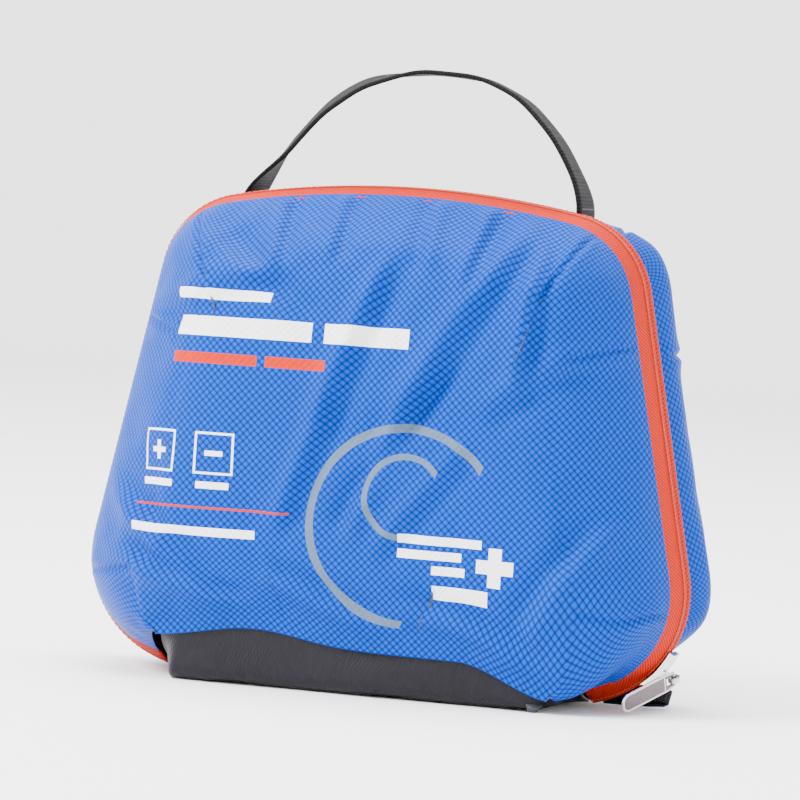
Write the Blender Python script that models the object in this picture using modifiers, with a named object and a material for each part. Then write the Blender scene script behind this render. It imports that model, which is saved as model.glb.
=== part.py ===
"""First aid kit: a zipped soft pouch and its supplies, in metres, +Z up.

The front faces -Y and the zipper lies in the plane Y = 0. The origin is the middle of the base's underside.
Every piece is its own closed solid, and each moving piece hangs from an empty on its joint's axis.
"""

import math

import bmesh
import bpy
from mathutils import Matrix, Vector

GAP = 0.0003

# Zipper outline in the plane Y = 0: two round corners a side, a straight side and an arched top
LOW_X, LOW_Z, LOW_RADIUS = 0.069, 0.040, 0.040
HIGH_X, HIGH_RADIUS = 0.057, 0.032
TOP_RADIUS, TOP_HEIGHT = 0.330, 0.176
END_ANGLE = -77.0

# Padded shells
WALL = 0.0016
FRONT_DEPTH, FRONT_INSET, FRONT_CROWN = 0.038, 0.030, 0.004
REAR_DEPTH, REAR_INSET, REAR_CROWN = 0.034, 0.024, 0.002
ROUNDNESS = 2.4
SPLIT_Z = 0.016
BASE_FLAT, BASE_END_TOP = 0.76, 0.0138

# Zipper
TAPE_THICKNESS = 0.0008
SLIT = 0.0007
FRONT_TAPE_EDGE, REAR_TAPE_EDGE = 0.0122, 0.0080
GROOVE_START, GROOVE_DEPTH, GROOVE_BACK = 0.003, 0.0035, 0.016
TAPE_SPLIT_ANGLE = -25.0
COIL_THICKNESS, COIL_EDGE = 0.0010, 0.0023
BINDING_THICKNESS = 0.0006

# Slider, in angles and radii about the centre of the lower right corner
SLIDER_ANGLE = -37.0
SLIDER_HALF_ANGLE = 9.5
PIVOT_RADIUS = 0.0462
PULL_AXIS = Vector((-0.031, -0.378, 0.925)).normalized()
PULL_HEADING = Vector((-0.498, -0.797, -0.342))
PULL_LENGTH, PULL_WIDTH, PULL_THICKNESS = 0.0250, 0.0072, 0.0012
EYE_RADIUS, EYE_HOLE, EYE_WIDTH = 0.0021, 0.00115, 0.0017
OUTER_PLATE, INNER_PLATE = (0.04035, 0.0422), (0.0357, 0.0369)
POST, STEM = (0.0365, 0.0408), (0.0418, PIVOT_RADIUS - EYE_HOLE - 2 * GAP)

# Carry handle: an arch of webbing over the rear shell
WEB_WIDTH, WEB_THICKNESS = 0.019, 0.0016
ARCH_HALF_SPAN, ARCH_RISE, ARCH_BASE_Z, ARCH_POWER = 0.066, 0.069, 0.150, 2.2
HANDLE_Y, HANDLE_PIVOT_Z, HANDLE_LEAN = 0.0132, 0.179, 35

# The mesh pocket inside the front half
POCKET_Y, POCKET_THICKNESS = -0.0292, 0.0008

FRONT_HINGE = Vector((0.0, -0.0382, 0.01585))
SHEARS_RIVET = Vector((-0.004, 0.0224, 0.086))

BLUE, ORANGE, CHARCOAL, BLACK = "#1f6fe0", "#f5602a", "#45424c", "#15141a"
STEEL, WHITE, CREAM, KRAFT = "#c9ccd0", "#f2f2f0", "#e6d9bf", "#c8a97c"
GREEN, AMBER, SKY, RED = "#3f8f5b", "#c9701c", "#bcd9ea", "#c23a34"

PARTS = bpy.data.collections.new("first_aid_kit")
CUTTERS = bpy.data.collections.new("cutters")


# ------------------------------------------------------------------ scene and materials


def clear_scene():
    """Removes the objects of the startup scene and adds the two collections."""
    for obj in list(bpy.data.objects):
        bpy.data.objects.remove(obj)
    bpy.context.scene.collection.children.link(PARTS)
    bpy.context.scene.collection.children.link(CUTTERS)
    CUTTERS.hide_render = True


def linear(hex_colour):
    """An sRGB hex colour as linear RGBA."""
    values = [int(hex_colour[i : i + 2], 16) / 255 for i in (1, 3, 5)]
    return [v / 12.92 if v <= 0.04045 else ((v + 0.055) / 1.055) ** 2.4 for v in values] + [1.0]


def material(name, colour, roughness=0.6, metallic=0.0):
    """A Principled material, made once for each name."""
    found = bpy.data.materials.get(name)
    if found:
        return found
    made = bpy.data.materials.new(name)
    made.use_nodes = True
    shader = made.node_tree.nodes["Principled BSDF"]
    shader.inputs["Base Color"].default_value = linear(colour)
    shader.inputs["Roughness"].default_value = roughness
    shader.inputs["Metallic"].default_value = metallic
    return made


def fabric(name, colour):
    """Woven cloth."""
    return material(name, colour, 0.85)


def metal(name):
    """Plated or ground steel."""
    return material(name, STEEL, 0.25, 1.0)


# ------------------------------------------------------------------ objects


def place(name, mesh, finish, collection=PARTS):
    """An object of this mesh in a collection."""
    obj = bpy.data.objects.new(name, mesh)
    collection.objects.link(obj)
    mesh.materials.append(finish)
    return obj


def from_bmesh(name, bm, finish, collection=PARTS):
    """An object of a bmesh, which is freed."""
    mesh = bpy.data.meshes.new(name)
    bm.to_mesh(mesh)
    bm.free()
    return place(name, mesh, finish, collection)


def sheet(name, rows, thickness, finish, flip=False, centre=None, offset=-1.0):
    """A skin through rows of points, thickened away from its faces. A centre closes the last row."""
    bm = bmesh.new()
    grid = [[bm.verts.new(p) for p in row] for row in rows]
    faces = [
        (a[i], a[i + 1], b[i + 1], b[i])
        for a, b in zip(grid, grid[1:], strict=False)
        for i in range(len(a) - 1)
    ]
    if centre is not None:
        middle = bm.verts.new(centre)
        faces += [(grid[-1][i], grid[-1][i + 1], middle) for i in range(len(grid[-1]) - 1)]
    for face in faces:
        bm.faces.new(face[::-1] if flip else face)
    obj = from_bmesh(name, bm, finish)
    obj.data.shade_smooth()
    solid = obj.modifiers.new("thickness", "SOLIDIFY")
    solid.thickness = thickness
    solid.offset = offset
    return obj


def rounded(obj, width):
    """Takes the sharpness off an object's edges."""
    bevel = obj.modifiers.new("rounded edges", "BEVEL")
    bevel.width = width
    bevel.segments = 1
    bevel.limit_method = "ANGLE"
    return obj


def block(name, size, centre, finish, edge=0.0006):
    """A box with softened edges."""
    bm = bmesh.new()
    bmesh.ops.create_cube(bm, size=1.0, matrix=Matrix.Diagonal((*size, 1.0)))
    obj = rounded(from_bmesh(name, bm, finish), edge)
    obj.location = centre
    return obj


def turned(name, profile, centre, finish, axis="Z", steps=20, collection=PARTS):
    """A profile of (radius, height) points, top to bottom down its outer side, turned about an axis."""
    bm = bmesh.new()
    verts = [bm.verts.new((r, 0.0, h)) for r, h in profile]
    closed = profile[0][0] > 0 and profile[-1][0] > 0
    for a, b in zip(verts, verts[1:], strict=False):
        bm.edges.new((a, b))
    if closed:
        bm.edges.new((verts[-1], verts[0]))
    obj = from_bmesh(name, bm, finish, collection)
    screw = obj.modifiers.new("turned", "SCREW")
    screw.steps = steps
    screw.render_steps = steps
    screw.use_merge_vertices = True
    screw.merge_threshold = 0.00001
    screw.use_smooth_shade = True
    turns = {"X": (0, math.pi / 2, 0), "Y": (math.pi / 2, 0, 0), "Z": (0, 0, 0)}
    obj.rotation_euler = turns[axis]
    obj.location = centre
    return obj


def solid_roll(radius, height, edge=0.001):
    """The profile of a solid roll with softened rims."""
    half = height / 2
    return [
        (0, half),
        (radius - edge, half),
        (radius, half - edge),
        (radius, edge - half),
        (radius - edge, -half),
        (0, -half),
    ]


def open_tube(outer, inner, height):
    """The profile of an open tube."""
    half = height / 2
    return [(outer, half), (outer, -half), (inner, -half), (inner, half)]


def outlined(name, loops, thickness, finish, location, rotation):
    """A flat plate with an outline and holes, as a filled 2D curve."""
    curve = bpy.data.curves.new(name, "CURVE")
    curve.dimensions = "2D"
    curve.fill_mode = "BOTH"
    curve.extrude = thickness / 2
    for loop in loops:
        spline = curve.splines.new("POLY")
        spline.points.add(len(loop) - 1)
        for point, (x, y) in zip(spline.points, loop, strict=True):
            point.co = (x, y, 0.0, 1.0)
        spline.use_cyclic_u = True
    curve.materials.append(finish)
    obj = bpy.data.objects.new(name, curve)
    PARTS.objects.link(obj)
    obj.rotation_euler = rotation
    obj.location = location
    return obj


def circle(x, y, radius, count=14, start=0.0, sweep=360.0):
    """Points round a circle, or along an arc of it."""
    full = abs(sweep) >= 360
    steps = count if full else count - 1
    angles = [math.radians(start + sweep * i / steps) for i in range(count)]
    return [(x + radius * math.cos(a), y + radius * math.sin(a)) for a in angles]


def joint_empty(name, position, *children):
    """An empty on a joint's axis, with the pieces that move about it."""
    empty = bpy.data.objects.new(name, None)
    PARTS.objects.link(empty)
    empty.location = position
    bpy.context.view_layer.update()
    for child in children:
        child.parent = empty
        child.matrix_parent_inverse = empty.matrix_world.inverted()
    return empty


# ------------------------------------------------------------------ the outline and its walls


def taper():
    """The angle in degrees by which each side leans in."""
    across, up = LOW_X - HIGH_X, LOW_Z - high_z()
    reach = math.hypot(across, up)
    return math.degrees(math.acos((HIGH_RADIUS - LOW_RADIUS) / reach) - math.atan2(-up, across))


def high_z():
    """Height of the top corner's centre, which lies a corner inside the arched top."""
    return TOP_HEIGHT - TOP_RADIUS + math.sqrt((TOP_RADIUS - HIGH_RADIUS) ** 2 - HIGH_X**2)


def arc(x, z, radius, start, stop, steps):
    """Stations (x, z, normal x, normal z) along an arc, between angles in degrees."""
    made = []
    for i in range(steps + 1):
        a = math.radians(start + (stop - start) * i / steps)
        nx, nz = math.cos(a), math.sin(a)
        made.append((x + radius * nx, z + radius * nz, nx, nz))
    return made


def outline(start=END_ANGLE, low=5, high=4, top=6):
    """Stations from the right end, over the top, to the left end."""
    lean = 90 - math.degrees(math.asin(HIGH_X / (TOP_RADIUS - HIGH_RADIUS)))
    right = arc(LOW_X, LOW_Z, LOW_RADIUS, start, taper(), low)
    right += arc(HIGH_X, high_z(), HIGH_RADIUS, taper(), lean, high)
    arched = arc(0.0, TOP_HEIGHT - TOP_RADIUS, TOP_RADIUS, lean, 180 - lean, top)[1:-1]
    left = [(-x, z, -nx, nz) for x, z, nx, nz in reversed(right)]
    return right + arched + left


def seam_z(depth):
    """Height at which the shells meet the base, from the zipper's ends up to the lips."""
    low = LOW_Z + LOW_RADIUS * math.sin(math.radians(END_ANGLE))
    reach = FRONT_DEPTH if depth < 0 else REAR_DEPTH
    return low + (SPLIT_Z - low) * min(1.0, abs(depth) / reach)


def reach_down(depth):
    """Vertical radius of the lower corners at a depth, so that they end on the base seam."""
    return (LOW_Z - seam_z(depth)) / -math.sin(math.radians(END_ANGLE))


def wall_point(station, depth, inset):
    """The point of a wall at a station of the outline, at a depth and an inset from the outline."""
    x, z, nx, nz = station
    if nz >= 0:
        return (x - inset * nx, depth, z - inset * nz)
    side = math.copysign(LOW_X, nx)
    return (side + (LOW_RADIUS - inset) * nx, depth, LOW_Z + reach_down(depth) * nz)


def start_at(z, depth):
    """Angle at which a wall at a depth passes a height, no lower than the base seam."""
    return max(END_ANGLE, -math.degrees(math.asin(min(1.0, (LOW_Z - z) / reach_down(depth)))))


def front_wall(share):
    """(depth, inset) of the front shell's side wall, from share 0 at the zipper to 1 at its rim."""
    turn = share * math.pi / 2
    inset = FRONT_INSET * (1 - max(0.0, math.cos(turn)) ** (2 / ROUNDNESS))
    return -FRONT_DEPTH * math.sin(turn) ** (2 / ROUNDNESS), inset


def front_share(depth):
    """The share of the front wall at a depth in front of the zipper."""
    return math.asin((depth / FRONT_DEPTH) ** (ROUNDNESS / 2)) / (math.pi / 2)


def smooth(t):
    """A smooth step from 0 to 1."""
    t = min(1.0, max(0.0, t))
    return t * t * (3 - 2 * t)


def rear_inset(depth):
    """Inset of the rear half: flat by the chain, into a groove, out again and round to the back."""
    round_back = 1 - max(0.0, 1 - (depth / REAR_DEPTH) ** ROUNDNESS) ** (1 / ROUNDNESS)
    down = smooth((depth - GROOVE_START) / (REAR_TAPE_EDGE - GROOVE_START))
    out = smooth((depth - REAR_TAPE_EDGE) / (GROOVE_BACK - REAR_TAPE_EDGE))
    return REAR_INSET * round_back + GROOVE_DEPTH * down * (1 - out)


def panel_rings(rim, depth_sign, crown):
    """Rings that close a shell's big panel, shrinking onto the middle of its base seam and bulging out."""
    rings = []
    for share in (0.25, 0.5, 0.75):
        ring = []
        for x, y, z in rim:
            z_new = SPLIT_Z + (z - SPLIT_Z) * (1 - share)
            bulge = crown * math.sin(math.pi / 2 * share) * smooth((z_new - SPLIT_Z) / 0.03)
            ring.append((x * (1 - share), y + depth_sign * bulge, z_new))
        rings.append(ring)
    return rings


# ------------------------------------------------------------------ shells, base and corners


def make_front_shell():
    """The front half above the base seam, which swings open."""
    shares = [front_share(FRONT_TAPE_EDGE + GAP)] + [0.35, 0.5, 0.62, 0.74, 0.87, 1.0]
    rows = []
    for depth, inset in map(front_wall, shares):
        stations = outline(start_at(SPLIT_Z, depth))
        rows.append([wall_point(s, depth, inset) for s in stations])
    rows += panel_rings(rows[-1], -1, FRONT_CROWN)
    centre = (0.0, -FRONT_DEPTH, SPLIT_Z)
    return sheet("front_shell", rows, WALL, fabric("front_fabric", BLUE), centre=centre)


def make_front_corner(side):
    """A lower corner of the front half, below the fold, which stays with the base."""
    rows = []
    for share in (front_share(FRONT_TAPE_EDGE + GAP), 0.35, 0.5, 0.62, 0.74):
        depth, inset = front_wall(share)
        top = start_at(SPLIT_Z - GAP, depth)
        right = arc(LOW_X, LOW_Z, LOW_RADIUS, END_ANGLE, top, 3)
        stations = right if side > 0 else [(-x, z, -nx, nz) for x, z, nx, nz in reversed(right)]
        rows.append([wall_point(s, depth, inset) for s in stations])
    name = "front_corner_right" if side > 0 else "front_corner_left"
    return sheet(name, rows, WALL, fabric("front_fabric", BLUE))


def make_rear_shell():
    """The rear half, from the zipper tape's edge to the back panel."""
    depths = [REAR_TAPE_EDGE + GAP, 0.0115, GROOVE_BACK, 0.021, 0.0265, 0.0305, 0.0330, REAR_DEPTH]
    rows = [[wall_point(s, d, rear_inset(d)) for s in outline()] for d in depths]
    rows += panel_rings(rows[-1], 1, REAR_CROWN)
    centre = (0.0, REAR_DEPTH, SPLIT_Z)
    return sheet("rear_shell", rows, WALL, fabric("rear_fabric", BLUE), flip=True, centre=centre)


def base_profile():
    """(y, z) points of the base's section, from the front lip down, along the floor and up the rear lip."""
    bend, lip = 0.005, SPLIT_Z - GAP
    front = [(-FRONT_DEPTH, lip), (-FRONT_DEPTH, bend + 0.003)]
    for a in (0.3, 0.9, math.pi / 2):
        front.append((-FRONT_DEPTH + bend * (1 - math.cos(a)), bend * (1 - math.sin(a))))
    rear = [(REAR_DEPTH - (y + FRONT_DEPTH), z) for y, z in reversed(front)]
    flat = [(y, 0.0) for y in (-0.020, -0.008, 0.008, 0.020)]
    return front + flat + rear


def make_base_panel():
    """The base: a tray with a lip front and back, whose ends rise to the shells' corners."""
    profile = base_profile()
    rows = []
    for i, (y, z) in enumerate(profile):
        share = i / (len(profile) - 1)
        end_y = -FRONT_DEPTH + (FRONT_DEPTH + REAR_DEPTH) * share
        inset = FRONT_INSET * (abs(end_y) / FRONT_DEPTH) ** 2
        end_x = LOW_X + (LOW_RADIUS - inset) * math.cos(math.radians(END_ANGLE)) - 2 * GAP
        end_z = min(seam_z(end_y), BASE_END_TOP)
        row = []
        for along in (-1, -0.92, -0.84, -BASE_FLAT, -0.4, 0, 0.4, BASE_FLAT, 0.84, 0.92, 1):
            lift = smooth((abs(along) - BASE_FLAT) / (1 - BASE_FLAT))
            row.append((along * end_x, y + (end_y - y) * lift, z + (end_z - z) * lift))
        rows.append(row)
    return sheet("base_panel", rows, WALL, material("base_coated", CHARCOAL, 0.5), flip=True)


# ------------------------------------------------------------------ zipper


def tape_rows(stations, depths, sunk=0.0):
    """Rows of a strip beside the zipper's slit, at depths behind (+) or in front (-) of it."""
    rows = []
    for depth in depths:
        inset = rear_inset(depth) if depth > 0 else front_wall(front_share(-depth))[1]
        row = []
        for station in stations:
            x, y, z = wall_point(station, depth, inset)
            row.append((x - sunk * station[2], y, z - sunk * station[3]))
        rows.append(row)
    return rows


def make_tapes():
    """Both halves of the zipper tape, their coils and the fixed ends of the front half."""
    orange = fabric("zipper_tape", ORANGE)
    coil = material("zipper_coil", ORANGE, 0.4)
    front_depths = (-SLIT, -0.0060, -FRONT_TAPE_EDGE)
    rear_depths = (SLIT, GROOVE_START, 0.0055, REAR_TAPE_EDGE)
    front_stations = outline(TAPE_SPLIT_ANGLE, low=4)
    sheet("rear_tape", tape_rows(outline(), rear_depths), TAPE_THICKNESS, orange, flip=True)
    front_tape = sheet("front_tape", tape_rows(front_stations, front_depths), TAPE_THICKNESS, orange)
    end = arc(LOW_X, LOW_Z, LOW_RADIUS, END_ANGLE, TAPE_SPLIT_ANGLE - 0.6, 4)
    other_end = [(-x, z, -nx, nz) for x, z, nx, nz in reversed(end)]
    sheet("front_tape_end_right", tape_rows(end, front_depths), TAPE_THICKNESS, orange)
    sheet("front_tape_end_left", tape_rows(other_end, front_depths), TAPE_THICKNESS, orange)
    under = TAPE_THICKNESS + GAP
    teeth = tape_rows(front_stations, (-SLIT, -COIL_EDGE), under)
    front_coil = sheet("front_coil", teeth, COIL_THICKNESS, coil)
    teeth = tape_rows(outline(), (SLIT, COIL_EDGE), under)
    sheet("rear_coil", teeth, COIL_THICKNESS, coil, flip=True)
    return [front_tape, front_coil]


def make_bindings():
    """Binding tape over the inside of each shell's zipper seam."""
    black = fabric("binding", BLACK)
    under = WALL + 4 * GAP
    rows = tape_rows(outline(0.0, low=1), (-0.0128, -0.0200), under)
    front = sheet("front_binding", rows, BINDING_THICKNESS, black)
    rows = tape_rows(outline(0.0, low=1), (0.0088, 0.0150), under + 2 * BINDING_THICKNESS)
    sheet("rear_binding", rows, BINDING_THICKNESS, black, flip=True)
    return [front]


def polar(radius, angle, y):
    """A point by radius and angle in degrees about the lower right corner's centre."""
    a = math.radians(angle)
    return Vector((LOW_X + radius * math.cos(a), y, LOW_Z + radius * math.sin(a)))


def arc_block(name, radii, angles, half_width, finish, steps=6, collection=PARTS):
    """A block bent round the lower right corner's centre."""
    bm = bmesh.new()
    rings = []
    for i in range(steps + 1):
        angle = angles[0] + (angles[1] - angles[0]) * i / steps
        inner, outer = radii
        corners = [(inner, -half_width), (outer, -half_width), (outer, half_width), (inner, half_width)]
        rings.append([bm.verts.new(polar(r, angle, y)) for r, y in corners])
    for a, b in zip(rings, rings[1:], strict=False):
        for k in range(4):
            bm.faces.new((a[k], a[k - 1], b[k - 1], b[k]))
    bm.faces.new(rings[0])
    bm.faces.new(rings[-1][::-1])
    bmesh.ops.recalc_face_normals(bm, faces=bm.faces)
    return from_bmesh(name, bm, finish, collection)


def union(obj, *others):
    """Joins others to obj as one solid."""
    for other in others:
        other.display_type = "WIRE"
        other.hide_render = True
        join = obj.modifiers.new(other.name, "BOOLEAN")
        join.operation = "UNION"
        join.object = other
    return obj


def make_slider():
    """Slider body: outer and inner plates on a thin post, with a stemmed eye that holds the pull."""
    chrome = metal("slider_plating")
    middle, half = SLIDER_ANGLE, SLIDER_HALF_ANGLE
    body = arc_block("slider_body", OUTER_PLATE, (middle - half, middle + half), 0.0044, chrome)
    pieces = {
        "slider_inner_plate": (INNER_PLATE, (middle - half + 1, middle + half), 0.0030),
        "slider_post": (POST, (middle + half - 3, middle + half - 0.4), 0.0004),
        "slider_stem": (STEM, (middle - 0.6, middle + 0.6), 0.0005),
    }
    others = [
        arc_block(name, radii, angles, width, chrome, 3, CUTTERS)
        for name, (radii, angles, width) in pieces.items()
    ]
    pivot = polar(PIVOT_RADIUS, middle, 0.0)
    ring = open_tube(EYE_RADIUS, EYE_HOLE, EYE_WIDTH)
    eye = turned("slider_eye", ring, pivot, chrome, collection=CUTTERS)
    eye.rotation_euler = PULL_AXIS.to_track_quat("Z", "Y").to_euler()
    return union(body, *others, eye)


def make_pull():
    """The pull: a long plate with a window at its hinge end, whose end bar lies in the slider's eye."""
    bar, half, tip_radius = PULL_THICKNESS / 2, PULL_WIDTH / 2, 0.0024
    tip_x, tip_y = PULL_LENGTH - tip_radius, half - tip_radius
    outer = [(-bar, half), (-bar, -half)]
    outer += circle(tip_x, -tip_y, tip_radius, 4, -90, 90)
    outer += circle(tip_x, tip_y, tip_radius, 4, 0, 90)
    window_end, window_half = 0.0036, 0.0017
    window = [(bar, -window_half), (window_end, -window_half)]
    window += [(window_end, window_half), (bar, window_half)]
    chrome = metal("slider_plating")
    pull = outlined("pull_tab", [outer, window], PULL_THICKNESS, chrome, (0, 0, 0), (0, 0, 0))
    along = (PULL_HEADING - PULL_HEADING.dot(PULL_AXIS) * PULL_AXIS).normalized()
    turn = Matrix((along, PULL_AXIS, along.cross(PULL_AXIS))).transposed().to_4x4()
    pull.matrix_world = Matrix.Translation(polar(PIVOT_RADIUS, SLIDER_ANGLE, 0.0)) @ turn
    return pull


def make_zipper_tab():
    """The folded fabric tab sewn over the zipper's end, standing out behind the slider."""
    rows = [
        [(0.081, 0.0060, 0.0013), (0.103, 0.0065, 0.0013)],
        [(0.081, 0.0115, 0.0038), (0.103, 0.0125, 0.0070)],
    ]
    return sheet("zipper_tab_right", rows, 0.0016, fabric("zipper_tab", BLACK), offset=0.0)


# ------------------------------------------------------------------ handle


def arch_point(turn):
    """(x, z) of the handle's arch at a turn in radians from the right foot's side."""
    c, s = math.cos(turn), math.sin(turn)
    x = math.copysign(abs(c) ** (2 / ARCH_POWER), c) * ARCH_HALF_SPAN
    return x, ARCH_BASE_Z + ARCH_RISE * s ** (2 / ARCH_POWER)


def web_rows(path):
    """Rows of a webbing strip whose width lies along Y."""
    half = WEB_WIDTH / 2
    return [[(x, HANDLE_Y + y, z) for x, z in path] for y in (half, -half)]


def make_handle():
    """The carry handle's free arch. Each end is cut to a V, so that it clears its sewn end as it leans."""
    steps, rows = 18, []
    for y in (WEB_WIDTH / 2, 0.0, -WEB_WIDTH / 2):
        foot = HANDLE_PIVOT_Z + abs(y) * math.tan(math.radians(HANDLE_LEAN + 2))
        start = math.asin(((foot - ARCH_BASE_Z) / ARCH_RISE) ** (ARCH_POWER / 2))
        path = [arch_point(start + (math.pi - 2 * start) * i / steps) for i in range(steps + 1)]
        rows.append([(x, HANDLE_Y + y, z) for x, z in path])
    return sheet("carry_handle", rows, WEB_THICKNESS, fabric("webbing", BLACK))


def make_anchor(side):
    """A sewn end of the handle: it leaves the arch and turns out onto the rear shell."""
    turn = math.asin(((HANDLE_PIVOT_Z - 3 * GAP - ARCH_BASE_Z) / ARCH_RISE) ** (ARCH_POWER / 2))
    x, z = arch_point(turn)
    foot = [polar_high(angle) for angle in (74, 66, 58, 51)]
    path = [(x, z), (x + 0.0006, z - 0.004), (x + 0.0012, z - 0.0065)] + foot
    path = [(side * px, pz) for px, pz in path]
    name = "handle_anchor_right" if side > 0 else "handle_anchor_left"
    rows = web_rows(path)
    return sheet(name, rows, WEB_THICKNESS, fabric("webbing", BLACK), flip=side > 0)


def polar_high(angle):
    """(x, z) a webbing's thickness and a gap above the top right corner."""
    a, radius = math.radians(angle), HIGH_RADIUS + WEB_THICKNESS + GAP
    return HIGH_X + radius * math.cos(a), high_z() + radius * math.sin(a)


# ------------------------------------------------------------------ inside the front half


def make_front_pocket():
    """The mesh pocket inside the front half and what it holds."""
    across, up = (0.062, 0.02, -0.02, -0.062), (0.112, 0.07, 0.026)
    rows = [[(x, POCKET_Y, z) for x in across] for z in up]
    pieces = [sheet("front_pocket", rows, POCKET_THICKNESS, fabric("pocket_mesh", BLACK))]
    foil = material("wipe_foil", WHITE, 0.4)
    packet_y = POCKET_Y - 0.0030
    for i, x in enumerate((-0.044, -0.015, 0.014)):
        pieces.append(block(f"wipe_packet_{i + 1}", (0.026, 0.0028, 0.038), (x, packet_y, 0.050), foil))
    paper = material("strip_paper", CREAM)
    strips = block("bandage_strips", (0.024, 0.0032, 0.072), (0.046, packet_y, 0.068), paper)
    return pieces + [strips]


# ------------------------------------------------------------------ supplies in the rear half


def make_packets():
    """The booklet and the flat packets."""
    paper, film = material("booklet_paper", WHITE), material("glove_film", SKY, 0.3)
    block("instruction_booklet", (0.100, 0.0035, 0.128), (-0.010, 0.0290, 0.074), paper)
    block("glove_packet", (0.078, 0.008, 0.062), (-0.012, -0.006, 0.090), film, 0.002)
    wrap = material("gauze_paper", WHITE)
    block("gauze_pads_packet", (0.078, 0.009, 0.078), (-0.012, 0.0075, 0.094), wrap, 0.002)


def make_rolls():
    """Rolled dressings and the tape on its core."""
    tan, white = fabric("elastic_weave", CREAM), fabric("gauze_weave", WHITE)
    turned("elastic_bandage", solid_roll(0.0185, 0.072), (-0.040, 0.0, 0.030), tan, "X", 24)
    turned("gauze_roll", solid_roll(0.0155, 0.058), (0.035, -0.001, 0.027), white, "X", 20)
    tape, card = material("medical_tape", WHITE, 0.5), material("card_core", KRAFT)
    centre = (0.062, 0.004, 0.070)
    turned("tape_roll", open_tube(0.021, 0.0133, 0.0125), centre, tape, "Y", 24)
    turned("tape_core", open_tube(0.0130, 0.0115, 0.0132), centre, card, "Y", 24)


def make_bottle():
    """Tablet bottle with a neck, and its cap."""
    body = [(0, 0.032), (0.0100, 0.032), (0.0100, 0.027), (0.0130, 0.023)]
    body += [(0.0130, -0.011), (0.0120, -0.012), (0, -0.012)]
    centre = Vector((0.053, 0.004, 0.108))
    turned("tablet_bottle", body, centre, material("bottle_plastic", AMBER, 0.2))
    cap = [(0, 0.0445), (0.0125, 0.0445), (0.0135, 0.0435), (0.0135, 0.0290)]
    cap += [(0.0103, 0.0290), (0.0103, 0.0323), (0, 0.0323)]
    turned("tablet_bottle_cap", cap, centre, material("cap_plastic", WHITE, 0.4))


def make_ointment():
    """Ointment tube with a flat crimped end, and its cap."""
    finish = material("tube_laminate", WHITE, 0.3)
    bm = bmesh.new()
    radius, crimp_thin, crimp_wide = 0.0085, 0.12, 1.3
    bmesh.ops.create_cone(bm, cap_ends=True, segments=20, radius1=radius, radius2=radius, depth=0.068)
    for vert in bm.verts:
        if vert.co.z > 0:
            vert.co.y *= crimp_thin
            vert.co.x *= crimp_wide
    body = from_bmesh("ointment_tube", bm, finish)
    body.location = (-0.030, -0.0190, 0.105)
    cap = [(0, 0.006), (0.0062, 0.006), (0.0070, -0.006), (0, -0.006)]
    green = material("ointment_cap_plastic", GREEN, 0.4)
    turned("ointment_cap", cap, (-0.030, -0.0190, 0.0645), green)


def shears_loops(side):
    """Outline, finger hole and rivet hole of one arm of the shears, point up."""
    ring_x, ring_z, ring_r = side * 0.019, -0.052, 0.0145
    blade = [(-side * 0.0065, 0.010), (-side * 0.004, 0.040), (side * 0.003, 0.060)]
    blade += [(side * 0.006, 0.058), (side * 0.006, 0.010), (side * 0.0065, -0.006)]
    start, sweep = (100, -290) if side > 0 else (80, 290)
    ring = circle(ring_x, ring_z, ring_r, 12, start, sweep)
    outer = blade + ring + [(-side * 0.0065, -0.008)]
    return [outer, circle(ring_x, ring_z, ring_r - 0.0045), circle(0, 0, 0.0034)]


def make_shears():
    """Trauma shears: two flat arms side by side on a rivet."""
    steel = metal("shears_steel")
    upright = (math.pi / 2, 0, 0)
    behind = SHEARS_RIVET + Vector((0, 0.0012, 0))
    before = SHEARS_RIVET - Vector((0, 0.0012, 0))
    outlined("shears_blade", shears_loops(1), 0.0020, steel, behind, upright)
    arm = outlined("shears_arm", shears_loops(-1), 0.0020, steel, before, upright)
    turned("shears_rivet", solid_roll(0.0031, 0.0062, 0.0005), SHEARS_RIVET, steel, "Y", 16)
    return arm


def make_tweezers():
    """Splinter tweezers: two arms that spring from one end."""
    loop = [(0.0, 0.045), (0.0038, 0.040), (0.0045, 0.0), (0.0008, -0.045), (0.0003, -0.045)]
    loop += [(0.0028, 0.0), (0.0022, 0.036), (0.0, 0.038)]
    left = [(-x, z) for x, z in reversed(loop[1:-1])]
    centre, upright = (0.0600, 0.0225, 0.080), (math.pi / 2, 0, 0)
    outlined("tweezers", [loop + left], 0.0050, metal("tweezer_steel"), centre, upright)


def make_syringe():
    """Irrigation syringe: a flanged barrel open at the top, and its plunger."""
    clear = material("syringe_plastic", SKY, 0.2)
    barrel = [(0.0105, 0.032), (0.0105, 0.030), (0.0085, 0.030), (0.0085, -0.025)]
    barrel += [(0.0030, -0.029), (0.0030, -0.036), (0.0012, -0.036), (0.0012, -0.029)]
    barrel += [(0.0072, -0.0245), (0.0072, 0.032)]
    centre = Vector((-0.0715, 0.004, 0.092))
    turned("syringe_barrel", barrel, centre, clear)
    plunger = [(0, 0.040), (0.0092, 0.040), (0.0092, 0.038), (0.0026, 0.038), (0.0026, -0.016)]
    plunger += [(0.0068, -0.017), (0.0068, -0.022), (0, -0.0225)]
    white = material("plunger_plastic", WHITE, 0.4)
    return turned("syringe_plunger", plunger, centre, white), centre


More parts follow.
